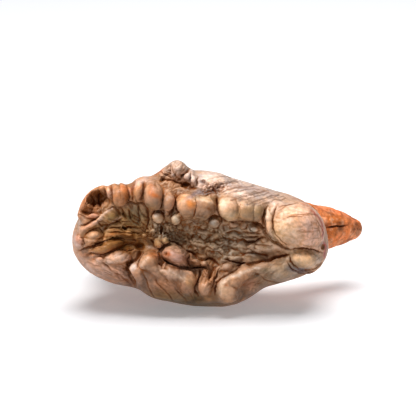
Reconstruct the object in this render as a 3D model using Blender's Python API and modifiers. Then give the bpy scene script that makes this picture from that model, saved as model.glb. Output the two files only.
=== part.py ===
"""Fossil cheek tooth of a cave bear, lying on its side with the chewing face to the front (-Y).

The tooth is shaped upright in its own frame and then laid down. In its own frame X runs along
the crown, Y runs across it and Z points out of the chewing face, with the neck of the tooth at
Z = 0 and the roots below. Tables of places and sizes are in millimetres, and the scene is in metres.
"""

import math

import bmesh
import bpy
import numpy as np
from mathutils import Matrix, Vector

MM = 0.001

# Driving dimensions, in millimetres and degrees.
CROWN_LENGTH = 44.2
CROWN_WIDTH = 23.8
RIM_HEIGHT = 9.9
BASIN_HEIGHT = 6.3
TRUNK_DEPTH = 5.0
LEAN_BACK_DEG = 15.0
FOOT_DEPTH = 0.22

# The rim is lower towards the left end and along the lower side: by how much, and over what reach.
LEFT_END_START = -12.5
LEFT_END_REACH = 7.0
LEFT_END_DROP = 2.2
LOWER_SIDE_REACH = 5.0
LOWER_SIDE_DROP = 1.3

# How finely the lumps are fused, and how many triangles the solid keeps.
FUSE_STEP = 0.34
SOFTEN_PASSES = 2
ROOT_SOFTEN_PASSES = 26
SOFTEN_SHARE = 0.5
TRIANGLES_KEPT = 9600
OUTLINE_STEPS = 108
BALL_SEGMENTS = 28
BALL_RINGS = 18
TUBE_RESOLUTION = 6
SHARP_EDGE_DEG = 50.0

# Furrows sink fully where at least this share of the skin's normal points out of the chewing face,
# and a hollow is flat up to this share of its half sizes.
FULLY_FACING = 0.62
HOLLOW_FLOOR = 0.45

# The crown's widest outline, counted from its left end over the top, as shares of the half length
# and half width. The last entry joins the first.
OUTLINE = (
    (-0.990, 0.00), (-0.925, 0.34), (-0.820, 0.61), (-0.640, 0.72), (-0.450, 0.77),
    (-0.270, 0.86), (-0.090, 0.94), (0.100, 0.935), (0.280, 0.825), (0.460, 0.73),
    (0.640, 0.63), (0.800, 0.52), (0.925, 0.355), (1.000, 0.10), (1.018, -0.19),
    (0.970, -0.43), (0.830, -0.59), (0.680, -0.69), (0.530, -0.76), (0.395, -0.925),
    (0.225, -1.04), (0.040, -1.055), (-0.140, -1.015), (-0.320, -0.935), (-0.480, -0.79),
    (-0.690, -0.705), (-0.865, -0.545), (-0.975, -0.29),
)

# The line inside the crown that its walls lean in towards.
SPINE_START = Vector((-13.0, 0.0))
SPINE_END = Vector((9.0, -1.0))

# Sections of the crown and trunk, bottom to top and then down into the chewing basin: the height,
# how far the outline is drawn in towards the spine as a share, and a shift along the crown.
SECTIONS = (
    (-TRUNK_DEPTH, 0.62, 0.6),
    (-4.6, 0.48, 0.8),
    (-3.0, 0.31, 1.0),
    (-1.5, 0.21, 0.8),
    (-0.3, 0.15, 0.5),
    (0.1, 0.045, 0.3),
    (0.9, 0.012, 0.2),
    (2.6, 0.0, 0.0),
    (4.6, 0.045, 0.0),
    (6.6, 0.105, 0.0),
    (8.6, 0.20, 0.0),
    (RIM_HEIGHT, 0.32, 0.0),
    (9.6, 0.39, 0.0),
    (8.2, 0.48, 0.0),
    (6.9, 0.59, 0.0),
    (BASIN_HEIGHT, 0.80, 0.0),
)

# Lumps of the chewing face: name, centre along and across, height of the top, the three half
# sizes (along, across, deep) and the turn in degrees.
LUMPS = (
    # The row of cusplets on the upper left rim.
    ("rim_pip", -15.4, 7.2, 10.2, 0.65, 1.55, 3.0, -6),
    ("rim_cusplet_1", -14.1, 6.5, 10.9, 0.98, 2.55, 3.6, 8),
    ("rim_cusplet_2", -12.85, 6.4, 10.8, 1.02, 2.50, 3.6, -2),
    ("rim_cusplet_3", -11.7, 6.4, 10.2, 0.70, 2.20, 3.0, 4),
    ("rim_cusplet_4", -10.4, 7.3, 10.9, 1.05, 2.40, 3.6, -8),
    ("rim_shoulder_1", -9.6, 9.0, 8.9, 2.00, 1.15, 4.0, 12),
    ("rim_cusp_1", -7.8, 6.6, 11.7, 1.85, 2.85, 4.2, 6),
    ("rim_shoulder_2", -6.6, 8.5, 9.6, 2.60, 1.45, 4.5, 10),
    ("rim_cusp_2", -5.1, 5.4, 11.0, 1.25, 2.20, 3.8, -14),
    ("rim_shoulder_3", -4.5, 7.6, 9.7, 1.70, 1.50, 4.2, 0),
    ("bead_1", -5.55, 3.75, 10.2, 0.40, 0.78, 2.6, 8),
    ("bead_2", -7.0, 3.0, 9.8, 1.02, 0.95, 2.2, 20),
    ("bead_3", -3.8, 2.8, 10.2, 0.88, 1.12, 2.6, -8),
    # The tall cusp that stands out of the upper edge, with its small neighbours.
    ("side_buttress", -3.8, 8.4, 9.2, 5.40, 3.10, 4.9, 2),
    ("side_cusp", -3.6, 11.1, 10.0, 1.80, 1.85, 4.4, 0),
    ("side_cusp_flank", -5.8, 10.5, 9.0, 1.80, 1.00, 3.6, 46),
    ("side_nub_1", -6.3, 10.1, 8.9, 0.85, 0.50, 2.2, 38),
    ("side_nub_2", -4.4, 10.3, 9.5, 0.65, 0.85, 2.4, -10),
    ("side_lobe_1", -1.8, 10.2, 10.1, 1.45, 0.95, 4.4, 42),
    ("side_lobe_2", -0.75, 9.2, 10.2, 0.68, 1.25, 3.6, -12),
    ("side_wall", 2.2, 8.5, 9.8, 4.20, 2.50, 5.0, -12),
    # The three broad cusps above the basin.
    ("cusp_1_left", -2.2, 5.0, 11.9, 1.90, 2.60, 4.4, -14),
    ("cusp_1_right", 0.9, 4.9, 11.7, 2.60, 2.40, 4.3, 3),
    ("cusp_1_foot", -0.9, 2.8, 9.4, 2.10, 1.50, 3.0, -20),
    ("cusp_1_shoulder", 0.2, 7.2, 10.6, 3.20, 1.40, 5.0, -4),
    ("cusp_2", 5.1, 4.4, 12.2, 2.05, 2.85, 4.8, 18),
    ("cusp_2_shoulder", 7.4, 6.2, 10.8, 5.00, 1.80, 4.0, -14),
    ("cusp_3_left", 8.35, 4.1, 11.7, 1.65, 2.35, 4.2, 4),
    ("cusp_3_right", 10.5, 4.1, 11.4, 1.40, 2.30, 4.2, -10),
    ("bead_4", 2.75, 2.2, 9.6, 0.98, 0.86, 2.2, 0),
    ("bead_5", 6.1, 1.7, 8.9, 0.82, 0.46, 1.8, -6),
    ("bead_6", 7.7, 1.5, 9.2, 0.66, 0.64, 2.0, 40),
    ("bead_7", 9.75, 1.1, 9.5, 1.08, 0.66, 2.2, -12),
    # The smooth end wall on the right, and the smaller wall lobe under it.
    ("end_cusp", 15.8, 1.2, 11.4, 6.30, 4.85, 6.4, -10),
    ("end_lobe", 18.2, -4.1, 9.1, 3.00, 2.00, 5.2, -14),
    # The long ridge on the lower right.
    ("ridge_head", 4.9, -9.7, 10.1, 1.85, 2.25, 5.0, -12),
    ("ridge_side", 8.7, -8.2, 8.2, 2.80, 2.10, 5.0, 24),
    ("ridge_bulb", 7.2, -10.4, 6.0, 1.05, 1.20, 3.0, 10),
    ("ridge_end", 13.8, -6.1, 8.5, 3.40, 2.10, 5.5, 9),
    # The short lobes between that ridge and the large lower one.
    ("notch_lobe", 1.2, -8.9, 9.8, 1.50, 1.60, 4.2, 6),
    ("notch_sliver", 1.3, -6.8, 8.7, 0.42, 1.00, 1.8, 10),
    ("fold_1", 5.1, -5.5, 8.3, 1.60, 0.85, 2.0, 16),
    ("fold_2", 3.3, -5.9, 8.5, 0.60, 1.25, 2.2, -28),
    # The large lower ridge that the tooth lies on.
    ("lower_ridge", -5.4, -8.2, 9.5, 5.60, 3.30, 6.2, -9),
    ("lower_ridge_left", -10.5, -6.5, 9.2, 1.55, 2.90, 5.0, 30),
    ("lower_ridge_top", -8.3, -4.2, 10.6, 1.55, 1.60, 4.0, -30),
    ("lower_ridge_right", -1.9, -8.5, 9.9, 1.55, 1.75, 4.6, 0),
    ("lower_ridge_foot", 1.6, -10.4, 7.4, 2.60, 1.60, 4.6, 0),
    # The egg in the basin and the knots beside it.
    ("egg", -3.9, -3.6, 10.3, 2.60, 1.66, 3.8, -22),
    ("egg_tail_1", -0.9, -4.5, 8.5, 1.25, 0.75, 1.8, -18),
    ("egg_tail_2", 1.1, -4.6, 8.1, 0.62, 0.42, 1.3, -12),
    ("knot_1", -6.8, -1.4, 9.4, 1.00, 0.92, 2.2, -30),
    ("knot_2", -5.7, -0.9, 9.4, 0.60, 0.56, 1.8, 0),
    ("knot_3", -9.4, -0.1, 8.1, 0.40, 0.62, 1.4, 10),
    ("knot_4", -8.1, 0.7, 7.9, 0.55, 0.60, 1.4, 0),
    ("knot_5", -5.2, 1.4, 8.0, 0.80, 0.60, 1.8, -35),
    # Swellings of the basin floor on the right.
    ("floor_swell_1", 9.8, -2.1, 8.3, 2.60, 1.15, 2.0, 12),
    ("floor_swell_2", 12.4, -2.5, 8.0, 2.50, 0.90, 2.2, -10),
    ("floor_swell_3", 6.8, -3.8, 7.9, 3.10, 0.75, 1.6, -4),
    ("floor_swell_4", 9.2, 0.1, 8.2, 2.60, 0.45, 1.4, -6),
    ("floor_swell_5", 8.6, -0.7, 7.8, 2.50, 0.42, 1.4, -3),
    ("floor_swell_6", 2.6, -1.8, 7.4, 2.60, 1.60, 1.4, -14),
    ("floor_swell_7", -1.0, -1.2, 7.3, 2.40, 1.10, 1.4, -30),
    ("floor_swell_8", 3.6, 0.4, 7.3, 3.20, 0.90, 1.2, 0),
    # The blocks and ridges of the left basin.
    ("left_corner", -16.8, 5.2, 8.8, 3.10, 3.20, 5.0, 0),
    ("left_block_1", -15.1, 3.1, 8.9, 1.90, 1.30, 2.6, 24),
    ("left_block_2", -18.2, -0.2, 8.7, 1.70, 1.15, 2.6, 26),
    ("left_log", -15.9, -2.2, 8.3, 3.30, 0.85, 2.2, 16),
    ("left_end_top", -19.4, 2.4, 8.4, 1.25, 1.60, 5.0, -16),
    ("left_end_nub", -18.3, 3.4, 8.9, 1.05, 0.52, 1.8, 10),
    ("left_end_tip", -20.3, -0.8, 8.2, 1.30, 1.50, 4.5, 0),
    ("left_finger_1", -12.6, 3.5, 8.5, 0.42, 1.30, 1.8, 6),
    ("left_finger_2", -11.3, 3.3, 8.6, 0.62, 1.70, 2.0, -14),
    ("left_finger_3", -9.8, 3.3, 8.5, 0.85, 2.10, 2.2, 4),
    ("left_finger_4", -8.9, 3.6, 8.3, 0.60, 1.60, 2.0, 20),
    ("left_wall_crest", -13.8, -4.0, 9.5, 2.60, 1.15, 3.4, 4),
    ("left_wall_pip", -17.0, -4.3, 8.7, 0.85, 0.40, 1.6, -16),
    ("left_wall", -15.2, -4.8, 8.0, 5.50, 3.10, 7.0, -17),
)

# Swellings of the trunk where the roots part, in the same terms.
TRUNK_SWELLS = (
    ("trunk_vault", 0.5, -0.4, 3.0, 17.5, 7.6, 5.2, -3),
    ("trunk_inner", 7.5, 0.2, 2.0, 8.0, 6.6, 5.0, 0),
    ("trunk_lower", -2.0, -3.0, 2.0, 12.0, 6.0, 6.0, 0),
)

# Ridges that wind over the chewing face: each is a list of places with the height of the ridge's
# middle and its radius.
RIDGES = (
    ("left_pit_rim", ((-19.9, 3.4, 7.0, 1.0), (-19.2, 5.3, 7.8, 1.0), (-17.9, 7.0, 8.3, 1.0),
                      (-16.4, 7.9, 8.9, 0.8))),
    ("left_rib", ((-20.2, 0.8, 7.6, 0.5), (-18.6, 1.6, 8.0, 0.6), (-17.4, 2.6, 8.4, 0.6),
                  (-16.3, 3.8, 8.6, 0.6), (-15.2, 4.7, 8.6, 0.4))),
    ("left_band_1", ((-16.4, 0.4, 7.2, 0.4), (-14.2, 1.5, 7.4, 0.5), (-12.6, 2.2, 7.6, 0.4))),
    ("left_band_2", ((-16.2, -0.5, 7.0, 0.5), (-14.0, 0.5, 7.2, 0.6), (-11.6, 0.3, 7.0, 0.5))),
    ("end_crescent", ((12.9, 5.2, 8.8, 0.6), (12.1, 3.7, 9.9, 0.85), (11.75, 1.7, 9.9, 0.85),
                      (12.1, 0.3, 9.5, 0.8), (13.4, -0.8, 8.8, 0.6))),
    ("end_collar", ((15.7, -3.8, 6.6, 0.5), (16.2, -5.1, 6.0, 0.6), (17.4, -6.1, 5.0, 0.6),
                    (19.2, -6.3, 3.6, 0.6), (20.9, -5.3, 2.4, 0.5))),
    ("ridge_crest", ((4.6, -8.6, 8.4, 1.5), (6.0, -7.3, 8.5, 1.4), (8.4, -6.1, 8.1, 1.3),
                     (11.2, -5.4, 7.4, 1.3), (14.6, -4.9, 6.9, 1.2))),
    ("lower_crest", ((-9.0, -4.8, 9.2, 1.0), (-7.2, -6.0, 9.1, 0.9), (-4.6, -6.7, 8.9, 0.9),
                     (-1.2, -7.4, 8.8, 0.9))),
    ("fold_3", ((2.4, -9.0, 8.9, 0.35), (2.3, -7.8, 8.7, 0.35), (3.0, -6.6, 8.2, 0.3))),
)

# Roots: each is a list of places on its axis with the radius there, from the trunk to the tip.
ROOTS = (
    ("end_root", ((12.5, 0.9, 0.0, 5.4), (16.5, 1.2, -3.2, 4.8), (19.6, 1.2, -5.5, 4.3),
                  (22.4, 1.2, -7.5, 3.85), (25.0, 1.1, -9.3, 3.15), (27.0, 0.95, -10.7, 2.15))),
    ("left_root", ((-11.5, 1.6, 0.0, 5.8), (-13.0, 2.2, -5.0, 5.0), (-14.4, 2.6, -10.0, 4.1),
                   (-15.3, 2.6, -15.0, 3.1), (-15.6, 2.4, -18.0, 2.2))),
    ("lower_root_left", ((-5.6, -3.0, 0.0, 5.4), (-6.8, -3.8, -5.0, 4.7), (-8.0, -4.4, -10.5, 3.8),
                         (-9.0, -4.9, -15.5, 3.0), (-9.4, -5.1, -18.2, 2.3))),
    ("lower_root_right", ((1.6, -3.4, 0.0, 5.6), (2.8, -4.0, -5.0, 4.8), (4.0, -4.4, -10.5, 3.9),
                          (5.0, -4.9, -15.5, 3.0), (5.4, -5.1, -18.4, 2.3))),
    ("lower_root_web_1", ((-4.4, -3.6, -2.0, 4.6), (-4.4, -4.2, -8.0, 3.8), (-4.6, -4.5, -13.8, 2.9),
                          (-4.9, -4.5, -16.0, 2.2))),
    ("lower_root_web_2", ((0.2, -3.6, -2.0, 4.6), (0.4, -4.2, -8.0, 3.8), (0.7, -4.5, -13.8, 2.9),
                          (0.9, -4.5, -16.0, 2.2))),
    ("lower_root_web_3", ((-2.1, -3.6, -2.0, 4.4), (-2.0, -4.2, -8.0, 3.6), (-2.0, -4.5, -14.6, 2.5))),
)

# Furrows pressed into the chewing face along a path: name, depth, half width and places.
FURROWS = (
    ("egg_below", 1.3, 0.42, ((-7.9, -0.9), (-7.2, -2.1), (-6.5, -2.8), (-6.4, -3.6), (-5.8, -4.6),
                              (-4.6, -5.6), (-3.0, -6.0), (-1.2, -5.7), (0.5, -5.6), (1.7, -5.3))),
    ("egg_above", 1.1, 0.38, ((-5.9, -0.2), (-5.2, -1.0), (-3.9, -1.5), (-2.7, -2.1), (-2.0, -2.8),
                              (-0.8, -3.1), (0.0, -3.9), (1.4, -4.2), (2.7, -4.5), (3.8, -4.9))),
    ("basin_low", 1.2, 0.42, ((4.4, -4.3), (6.4, -4.6), (7.8, -5.0), (9.6, -4.7), (11.6, -4.1),
                              (14.0, -3.6), (15.6, -3.3))),
    ("ridge_inner", 1.2, 0.40, ((2.8, -9.9), (2.8, -8.6), (3.5, -7.5), (4.9, -6.7), (6.4, -5.9),
                                (7.9, -5.1))),
    ("notch", 1.4, 0.40, ((0.5, -5.9), (0.1, -7.4), (-0.5, -8.8), (-0.4, -9.8), (0.2, -10.8))),
    ("left_of_lower_ridge", 1.4, 0.45, ((-9.9, -2.4), (-10.6, -3.7), (-11.3, -4.4), (-12.4, -5.3),
                                        (-12.3, -6.7), (-11.4, -8.0), (-10.6, -9.3))),
    ("basin_high", 1.2, 0.40, ((3.3, 6.0), (3.3, 4.7), (3.9, 3.2), (4.7, 2.2), (6.2, 2.2),
                               (8.2, 2.3), (10.0, 2.0), (11.0, 1.3), (11.4, 0.3), (12.7, -1.0),
                               (14.4, -2.0), (15.6, -2.8))),
    ("crescent_left", 1.2, 0.36, ((12.3, 5.2), (11.6, 3.9), (11.1, 2.7), (11.0, 1.6))),
    ("rim_inner", 1.0, 0.36, ((-3.9, 6.4), (-3.9, 4.9), (-4.4, 3.9), (-4.8, 3.2))),
    ("beads_above", 0.9, 0.34, ((-5.0, 3.0), (-5.9, 3.1), (-6.4, 4.1), (-7.6, 4.2), (-8.3, 3.4))),
    ("end_line", 0.7, 0.30, ((15.6, -2.7), (16.6, -2.3), (18.4, -2.3), (20.4, -2.8))),
    ("collar_line", 0.8, 0.32, ((15.7, -4.0), (16.2, -5.3), (17.4, -6.1), (19.2, -6.2))),
    ("left_slit", 1.2, 0.40, ((-19.9, 4.1), (-18.2, 4.2), (-16.6, 4.6), (-15.4, 5.4), (-14.2, 4.3),
                              (-13.1, 3.3), (-12.9, 2.4))),
    ("left_crack", 1.0, 0.32, ((-20.6, -2.7), (-19.2, -2.5), (-17.8, -1.7), (-16.4, -1.1),
                               (-14.8, -0.6), (-12.6, -0.2))),
    ("left_valley", 1.2, 0.75, ((-14.4, -2.8), (-12.6, -2.2), (-11.2, -1.6), (-10.0, -1.0))),
    ("left_wall_top", 0.9, 0.45, ((-18.8, -3.8), (-17.2, -3.7), (-16.2, -3.4), (-14.8, -2.9),
                                  (-12.4, -2.7), (-10.9, -3.2))),
)

# Hollows sunk into the crown: name, centre, depth and half sizes along and across.
HOLLOWS = (
    ("left_hollow", -17.5, 6.2, 2.4, 1.9, 1.5),
    ("side_hole", -2.3, 8.75, 2.2, 0.9, 0.6),
    ("centre_pit", -6.4, 1.0, 1.3, 0.7, 0.9),
)

MATERIALS = {"tooth": ((0.50, 0.37, 0.26), 0.42)}


def clear_scene():
    """Removes whatever the scene holds."""
    for obj in list(bpy.data.objects):
        bpy.data.objects.remove(obj)


def collection(name):
    made = bpy.data.collections.new(name)
    bpy.context.scene.collection.children.link(made)
    return made


def link(mesh, name, group):
    """A new object of that mesh in a collection."""
    obj = bpy.data.objects.new(name, mesh)
    group.objects.link(obj)
    return obj


def smooth_loop(points, steps):
    """Evenly counted points on a smooth closed curve through the given ones."""
    knots = np.array(points, float)
    count = len(knots)
    found = []
    for step in range(steps):
        place = step * count / steps
        i = int(place)
        t = place - i
        a, b, c, d = (knots[(i + k) % count] for k in (-1, 0, 1, 2))
        found.append(0.5 * (2 * b + (c - a) * t + (2 * a - 5 * b + 4 * c - d) * t * t
                            + (3 * b - a - 3 * c + d) * t ** 3))
    return found


def nearest_on_spine(point):
    along = SPINE_END - SPINE_START
    share = (point - SPINE_START).dot(along) / along.length_squared
    return SPINE_START + along * min(max(share, 0.0), 1.0)


def rim_drop(x, y, height):
    """How much lower the crown is at its left end and along its lower side than along the top."""
    left = min(max((LEFT_END_START - x) / LEFT_END_REACH, 0.0), 1.0)
    lower = min(max(-y / LOWER_SIDE_REACH, 0.0), 1.0)
    share = max(height, 0.0) / RIM_HEIGHT
    return share * (LEFT_END_DROP * left + LOWER_SIDE_DROP * lower)


def make_crown(group):
    """The crown and trunk: a loft of the outline drawn in towards the spine, closed at both ends."""
    half_length, half_width = CROWN_LENGTH / 2, CROWN_WIDTH / 2
    outline = [Vector((x * half_length, y * half_width))
               for x, y in smooth_loop(OUTLINE, OUTLINE_STEPS)]
    bm = bmesh.new()
    rings = []
    for height, draw_in, shift in SECTIONS:
        ring = []
        for point in outline:
            place = point.lerp(nearest_on_spine(point), draw_in)
            level = height - rim_drop(place.x, place.y, height)
            ring.append(bm.verts.new(Vector((place.x + shift, place.y, level)) * MM))
        rings.append(ring)
    for lower, upper in zip(rings, rings[1:]):
        for i in range(OUTLINE_STEPS):
            j = (i + 1) % OUTLINE_STEPS
            bm.faces.new((lower[i], upper[i], upper[j], lower[j]))
    bm.faces.new(rings[0])
    bm.faces.new(reversed(rings[-1]))
    bmesh.ops.recalc_face_normals(bm, faces=bm.faces)
    mesh = bpy.data.meshes.new("crown")
    bm.to_mesh(mesh)
    bm.free()
    return link(mesh, "crown", group)


def make_ball(name, centre, half_sizes, turn_deg, group):
    """A ball stretched to its half sizes and turned about the tooth's height."""
    bm = bmesh.new()
    bmesh.ops.create_uvsphere(bm, u_segments=BALL_SEGMENTS, v_segments=BALL_RINGS, radius=1.0)
    place = (Matrix.Translation(Vector(centre) * MM)
             @ Matrix.Rotation(math.radians(turn_deg), 4, "Z")
             @ Matrix.Diagonal((*(size * MM for size in half_sizes), 1.0)))
    bmesh.ops.transform(bm, matrix=place, verts=bm.verts)
    mesh = bpy.data.meshes.new(name)
    bm.to_mesh(mesh)
    bm.free()
    return link(mesh, name, group)


def make_tube(name, places, group):
    """A rounded tube through (x, y, z, radius) places, as a mesh with a ball at each end."""
    curve = bpy.data.curves.new(name, "CURVE")
    curve.dimensions = "3D"
    curve.bevel_depth = MM
    curve.bevel_resolution = TUBE_RESOLUTION
    curve.resolution_u = TUBE_RESOLUTION
    curve.use_fill_caps = True
    spline = curve.splines.new("BEZIER")
    spline.bezier_points.add(len(places) - 1)
    for knot, (x, y, z, radius) in zip(spline.bezier_points, places):
        knot.co = Vector((x, y, z)) * MM
        knot.radius = radius
        knot.handle_left_type = knot.handle_right_type = "AUTO"
    guide = bpy.data.objects.new(name, curve)
    group.objects.link(guide)
    graph = bpy.context.evaluated_depsgraph_get()
    mesh = bpy.data.meshes.new_from_object(guide.evaluated_get(graph))
    bpy.data.objects.remove(guide)
    tube = link(mesh, name, group)
    ends = [make_ball(f"{name}_end_{i}", place[:3], [place[3]] * 3, 0, group)
            for i, place in enumerate((places[0], places[-1]))]
    return [tube, *ends]


def evaluated_mesh(obj, name):
    """The object's mesh with its modifiers applied, as new mesh data."""
    graph = bpy.context.evaluated_depsgraph_get()
    mesh = bpy.data.meshes.new_from_object(obj.evaluated_get(graph))
    mesh.name = name
    return mesh


def fuse(pieces, name, group):
    """One closed skin round all the pieces, which are used up."""
    bm = bmesh.new()
    for piece in pieces:
        bm.from_mesh(piece.data)
        bpy.data.objects.remove(piece)
    mesh = bpy.data.meshes.new(name)
    bm.to_mesh(mesh)
    bm.free()
    fused = link(mesh, name, group)
    remesh = fused.modifiers.new("fuse", "REMESH")
    remesh.mode = "VOXEL"
    remesh.voxel_size = FUSE_STEP * MM
    fused.data = evaluated_mesh(fused, name)
    fused.modifiers.clear()
    keep_largest_shell(fused.data)
    return fused


def keep_largest_shell(mesh):
    """Drops the sealed gaps that lumps can enclose, which are separate shells inside the skin."""
    bm = bmesh.new()
    bm.from_mesh(mesh)
    bm.verts.ensure_lookup_table()
    shell_of = {}
    shells = []
    for start in bm.verts:
        if start in shell_of:
            continue
        shell, queue = [], [start]
        shell_of[start] = len(shells)
        while queue:
            vert = queue.pop()
            shell.append(vert)
            for edge in vert.link_edges:
                other = edge.other_vert(vert)
                if other not in shell_of:
                    shell_of[other] = len(shells)
                    queue.append(other)
        shells.append(shell)
    largest = max(shells, key=len)
    loose = [vert for shell in shells if shell is not largest for vert in shell]
    bmesh.ops.delete(bm, geom=loose, context="VERTS")
    bm.to_mesh(mesh)
    bm.free()


def coordinates(mesh):
    """The mesh's points in millimetres."""
    flat = np.empty(len(mesh.vertices) * 3, np.float32)
    mesh.vertices.foreach_get("co", flat)
    return flat.reshape(-1, 3).astype(float) / MM


def normals(mesh):
    flat = np.empty(len(mesh.vertices) * 3, np.float32)
    mesh.vertex_normals.foreach_get("vector", flat)
    return flat.reshape(-1, 3)


def set_coordinates(mesh, points):
    mesh.vertices.foreach_set("co", (points * MM).astype(np.float32).ravel())
    mesh.update()


def distance_to_path(points, path):
    """How far each point lies from a path of straight stretches, seen along the tooth's height."""
    path = np.array(path, float)
    nearest = np.full(len(points), np.inf)
    for start, end in zip(path, path[1:]):
        along = end - start
        share = np.clip(((points - start) @ along) / (along @ along), 0, 1)
        gap = np.linalg.norm(points - start - share[:, None] * along, axis=1)
        nearest = np.minimum(nearest, gap)
    return nearest


def press_furrows(mesh):
    """Sinks furrows and hollows into the part of the skin that faces out of the chewing face."""
    points = coordinates(mesh)
    facing = np.clip(normals(mesh)[:, 2] / FULLY_FACING, 0, 1)
    sink = np.zeros(len(points))
    for _, depth, half_width, path in FURROWS:
        gap = distance_to_path(points[:, :2], path)
        sink = np.maximum(sink, depth * np.exp(-((gap / half_width) ** 2)))
    for _, x, y, depth, along, across in HOLLOWS:
        reach = np.hypot((points[:, 0] - x) / along, (points[:, 1] - y) / across)
        wall = np.clip((1 - reach) / (1 - HOLLOW_FLOOR), 0, 1)
        sink = np.maximum(sink, depth * np.sin(wall * math.pi / 2) ** 2)
    points[:, 2] -= sink * facing
    set_coordinates(mesh, points)


def soften(obj):
    """Rounds the steps that fusing leaves, and blends the roots into one another."""
    roots = obj.vertex_groups.new(name="roots")
    heights = coordinates(obj.data)[:, 2]
    roots.add(np.flatnonzero(heights < 0).tolist(), 1.0, "REPLACE")
    for name, passes, where in (("all", SOFTEN_PASSES, ""), ("roots", ROOT_SOFTEN_PASSES, "roots")):
        smooth = obj.modifiers.new(name, "SMOOTH")
        smooth.factor = SOFTEN_SHARE
        smooth.iterations = passes
        smooth.vertex_group = where
    obj.data = evaluated_mesh(obj, obj.name)
    obj.modifiers.clear()
    obj.vertex_groups.clear()


def thin_out(obj):
    """Keeps the triangles where the form bends most."""
    obj.data.calc_loop_triangles()
    thin = obj.modifiers.new("thin_out", "DECIMATE")
    thin.ratio = TRIANGLES_KEPT / len(obj.data.loop_triangles)
    thin.use_collapse_triangulate = True
    obj.data = evaluated_mesh(obj, obj.name)
    obj.modifiers.clear()


def lay_down(mesh):
    """Turns the tooth onto its side, stands it on small worn flats and centres it over the origin."""
    mesh.transform(Matrix.Rotation(math.radians(90 - LEAN_BACK_DEG), 4, "X"))
    points = coordinates(mesh)
    low, high = points.min(axis=0), points.max(axis=0)
    middle = (low + high) / 2
    floor = low[2] + FOOT_DEPTH
    mesh.transform(Matrix.Translation(Vector((-middle[0], -middle[1], -floor)) * MM))
    bm = bmesh.new()
    bm.from_mesh(mesh)
    geometry = [*bm.verts, *bm.edges, *bm.faces]
    bmesh.ops.bisect_plane(bm, geom=geometry, plane_co=(0, 0, 0), plane_no=(0, 0, 1),
                           clear_inner=True)
    rims = [edge for edge in bm.edges if edge.is_boundary]
    bmesh.ops.holes_fill(bm, edges=rims, sides=0)
    bmesh.ops.recalc_face_normals(bm, faces=bm.faces)
    bm.to_mesh(mesh)
    bm.free()


def make_material(name):
    colour, roughness = MATERIALS[name]
    material = bpy.data.materials.new(name)
    material.use_nodes = True
    shader = material.node_tree.nodes["Principled BSDF"]
    shader.inputs["Base Color"].default_value = (*colour, 1.0)
    shader.inputs["Roughness"].default_value = roughness
    shader.inputs["Metallic"].default_value = 0.0
    return material


def main():
    clear_scene()
    group = collection("cave_bear_tooth")
    pieces = [make_crown(group)]
    for name, x, y, top, along, across, deep, turn in (*LUMPS, *TRUNK_SWELLS):
        pieces.append(make_ball(name, (x, y, top - deep), (along, across, deep), turn, group))
    for name, places in (*RIDGES, *ROOTS):
        pieces += make_tube(name, places, group)
    tooth = fuse(pieces, "tooth", group)
    press_furrows(tooth.data)
    soften(tooth)
    thin_out(tooth)
    lay_down(tooth.data)
    tooth.data.shade_smooth()
    tooth.data.set_sharp_from_angle(angle=math.radians(SHARP_EDGE_DEG))
    tooth.data.materials.append(make_material("tooth"))


main()
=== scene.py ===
"""The fossil tooth with its fine relief and colours on a pale floor, as the photograph shows it.

The relief and the stains are placed in the tooth's own frame, in millimetres: u runs along the
crown and v across it as the camera sees them, and z points out of the chewing face.
"""

import math

import bmesh
import bpy
import numpy as np
from mathutils import Matrix, Vector


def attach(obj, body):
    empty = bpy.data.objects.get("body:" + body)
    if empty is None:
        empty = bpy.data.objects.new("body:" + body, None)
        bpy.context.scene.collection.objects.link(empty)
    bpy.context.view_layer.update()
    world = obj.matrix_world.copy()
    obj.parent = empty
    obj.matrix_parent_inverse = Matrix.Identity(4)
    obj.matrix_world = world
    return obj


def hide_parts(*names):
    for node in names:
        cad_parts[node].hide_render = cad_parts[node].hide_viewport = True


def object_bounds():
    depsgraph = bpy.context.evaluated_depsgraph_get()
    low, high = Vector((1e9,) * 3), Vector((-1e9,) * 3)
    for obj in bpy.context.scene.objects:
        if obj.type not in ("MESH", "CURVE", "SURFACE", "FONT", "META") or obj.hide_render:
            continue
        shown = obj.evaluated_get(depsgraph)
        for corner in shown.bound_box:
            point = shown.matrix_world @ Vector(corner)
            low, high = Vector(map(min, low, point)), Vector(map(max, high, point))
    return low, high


MM = 0.001

# Where the tooth's own frame sits in the row's, and how far the tooth leans back.
TOOTH_ORIGIN = Vector((-3.530, -3.921, 11.639)) * MM
LEAN_BACK_DEG = 15.0

# The camera: its distance, lens and sensor, and the place that the picture's middle shows.
CAMERA_DISTANCE = 600.0
CAMERA_LENS = 301.2
CAMERA_SENSOR = 36
AIM = (1.66, 4.66, 6.0)

# The two soft lights: name, place, size and power. The key light falls on the tooth alone, so that
# the floor has only the top light's soft shadow.
KEY_LIGHT = ("softbox_key", (-0.21, -0.16, 0.36), 0.12, 1.80)
TOP_LIGHT = ("softbox_top", (0.01, 0.06, 0.42), 0.36, 1.80)
LIGHTS_AIM = (0, 0, 0.01)
SKY_STRENGTH = 0.19
VIEW_GAMMA = 0.88

# The floor glows a little, which keeps the shadow as pale as the photograph's.
FLOOR_SIZE = 6.0
FLOOR_LOOK = {"Base Color": (0.92, 0.92, 0.93, 1), "Roughness": 0.85, "Specular IOR Level": 0.1,
              "Emission Color": (0.90, 0.94, 1.0, 1), "Emission Strength": 0.28}

# The skin's fineness, the number of triangles that are kept, and how much less the front is thinned
# out than the back.
COARSE_STEP = 0.30
SKIN_STEP = 0.140
SKIN_TRIANGLES = 192000
FRONT_SPARED = 0.88

# How many rounds of evening out the coarse skin, its hidden roots and the fine skin get.
COARSE_SMOOTHING = 4
ROOT_SMOOTHING = 26
SKIN_SMOOTHING = 12

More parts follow.
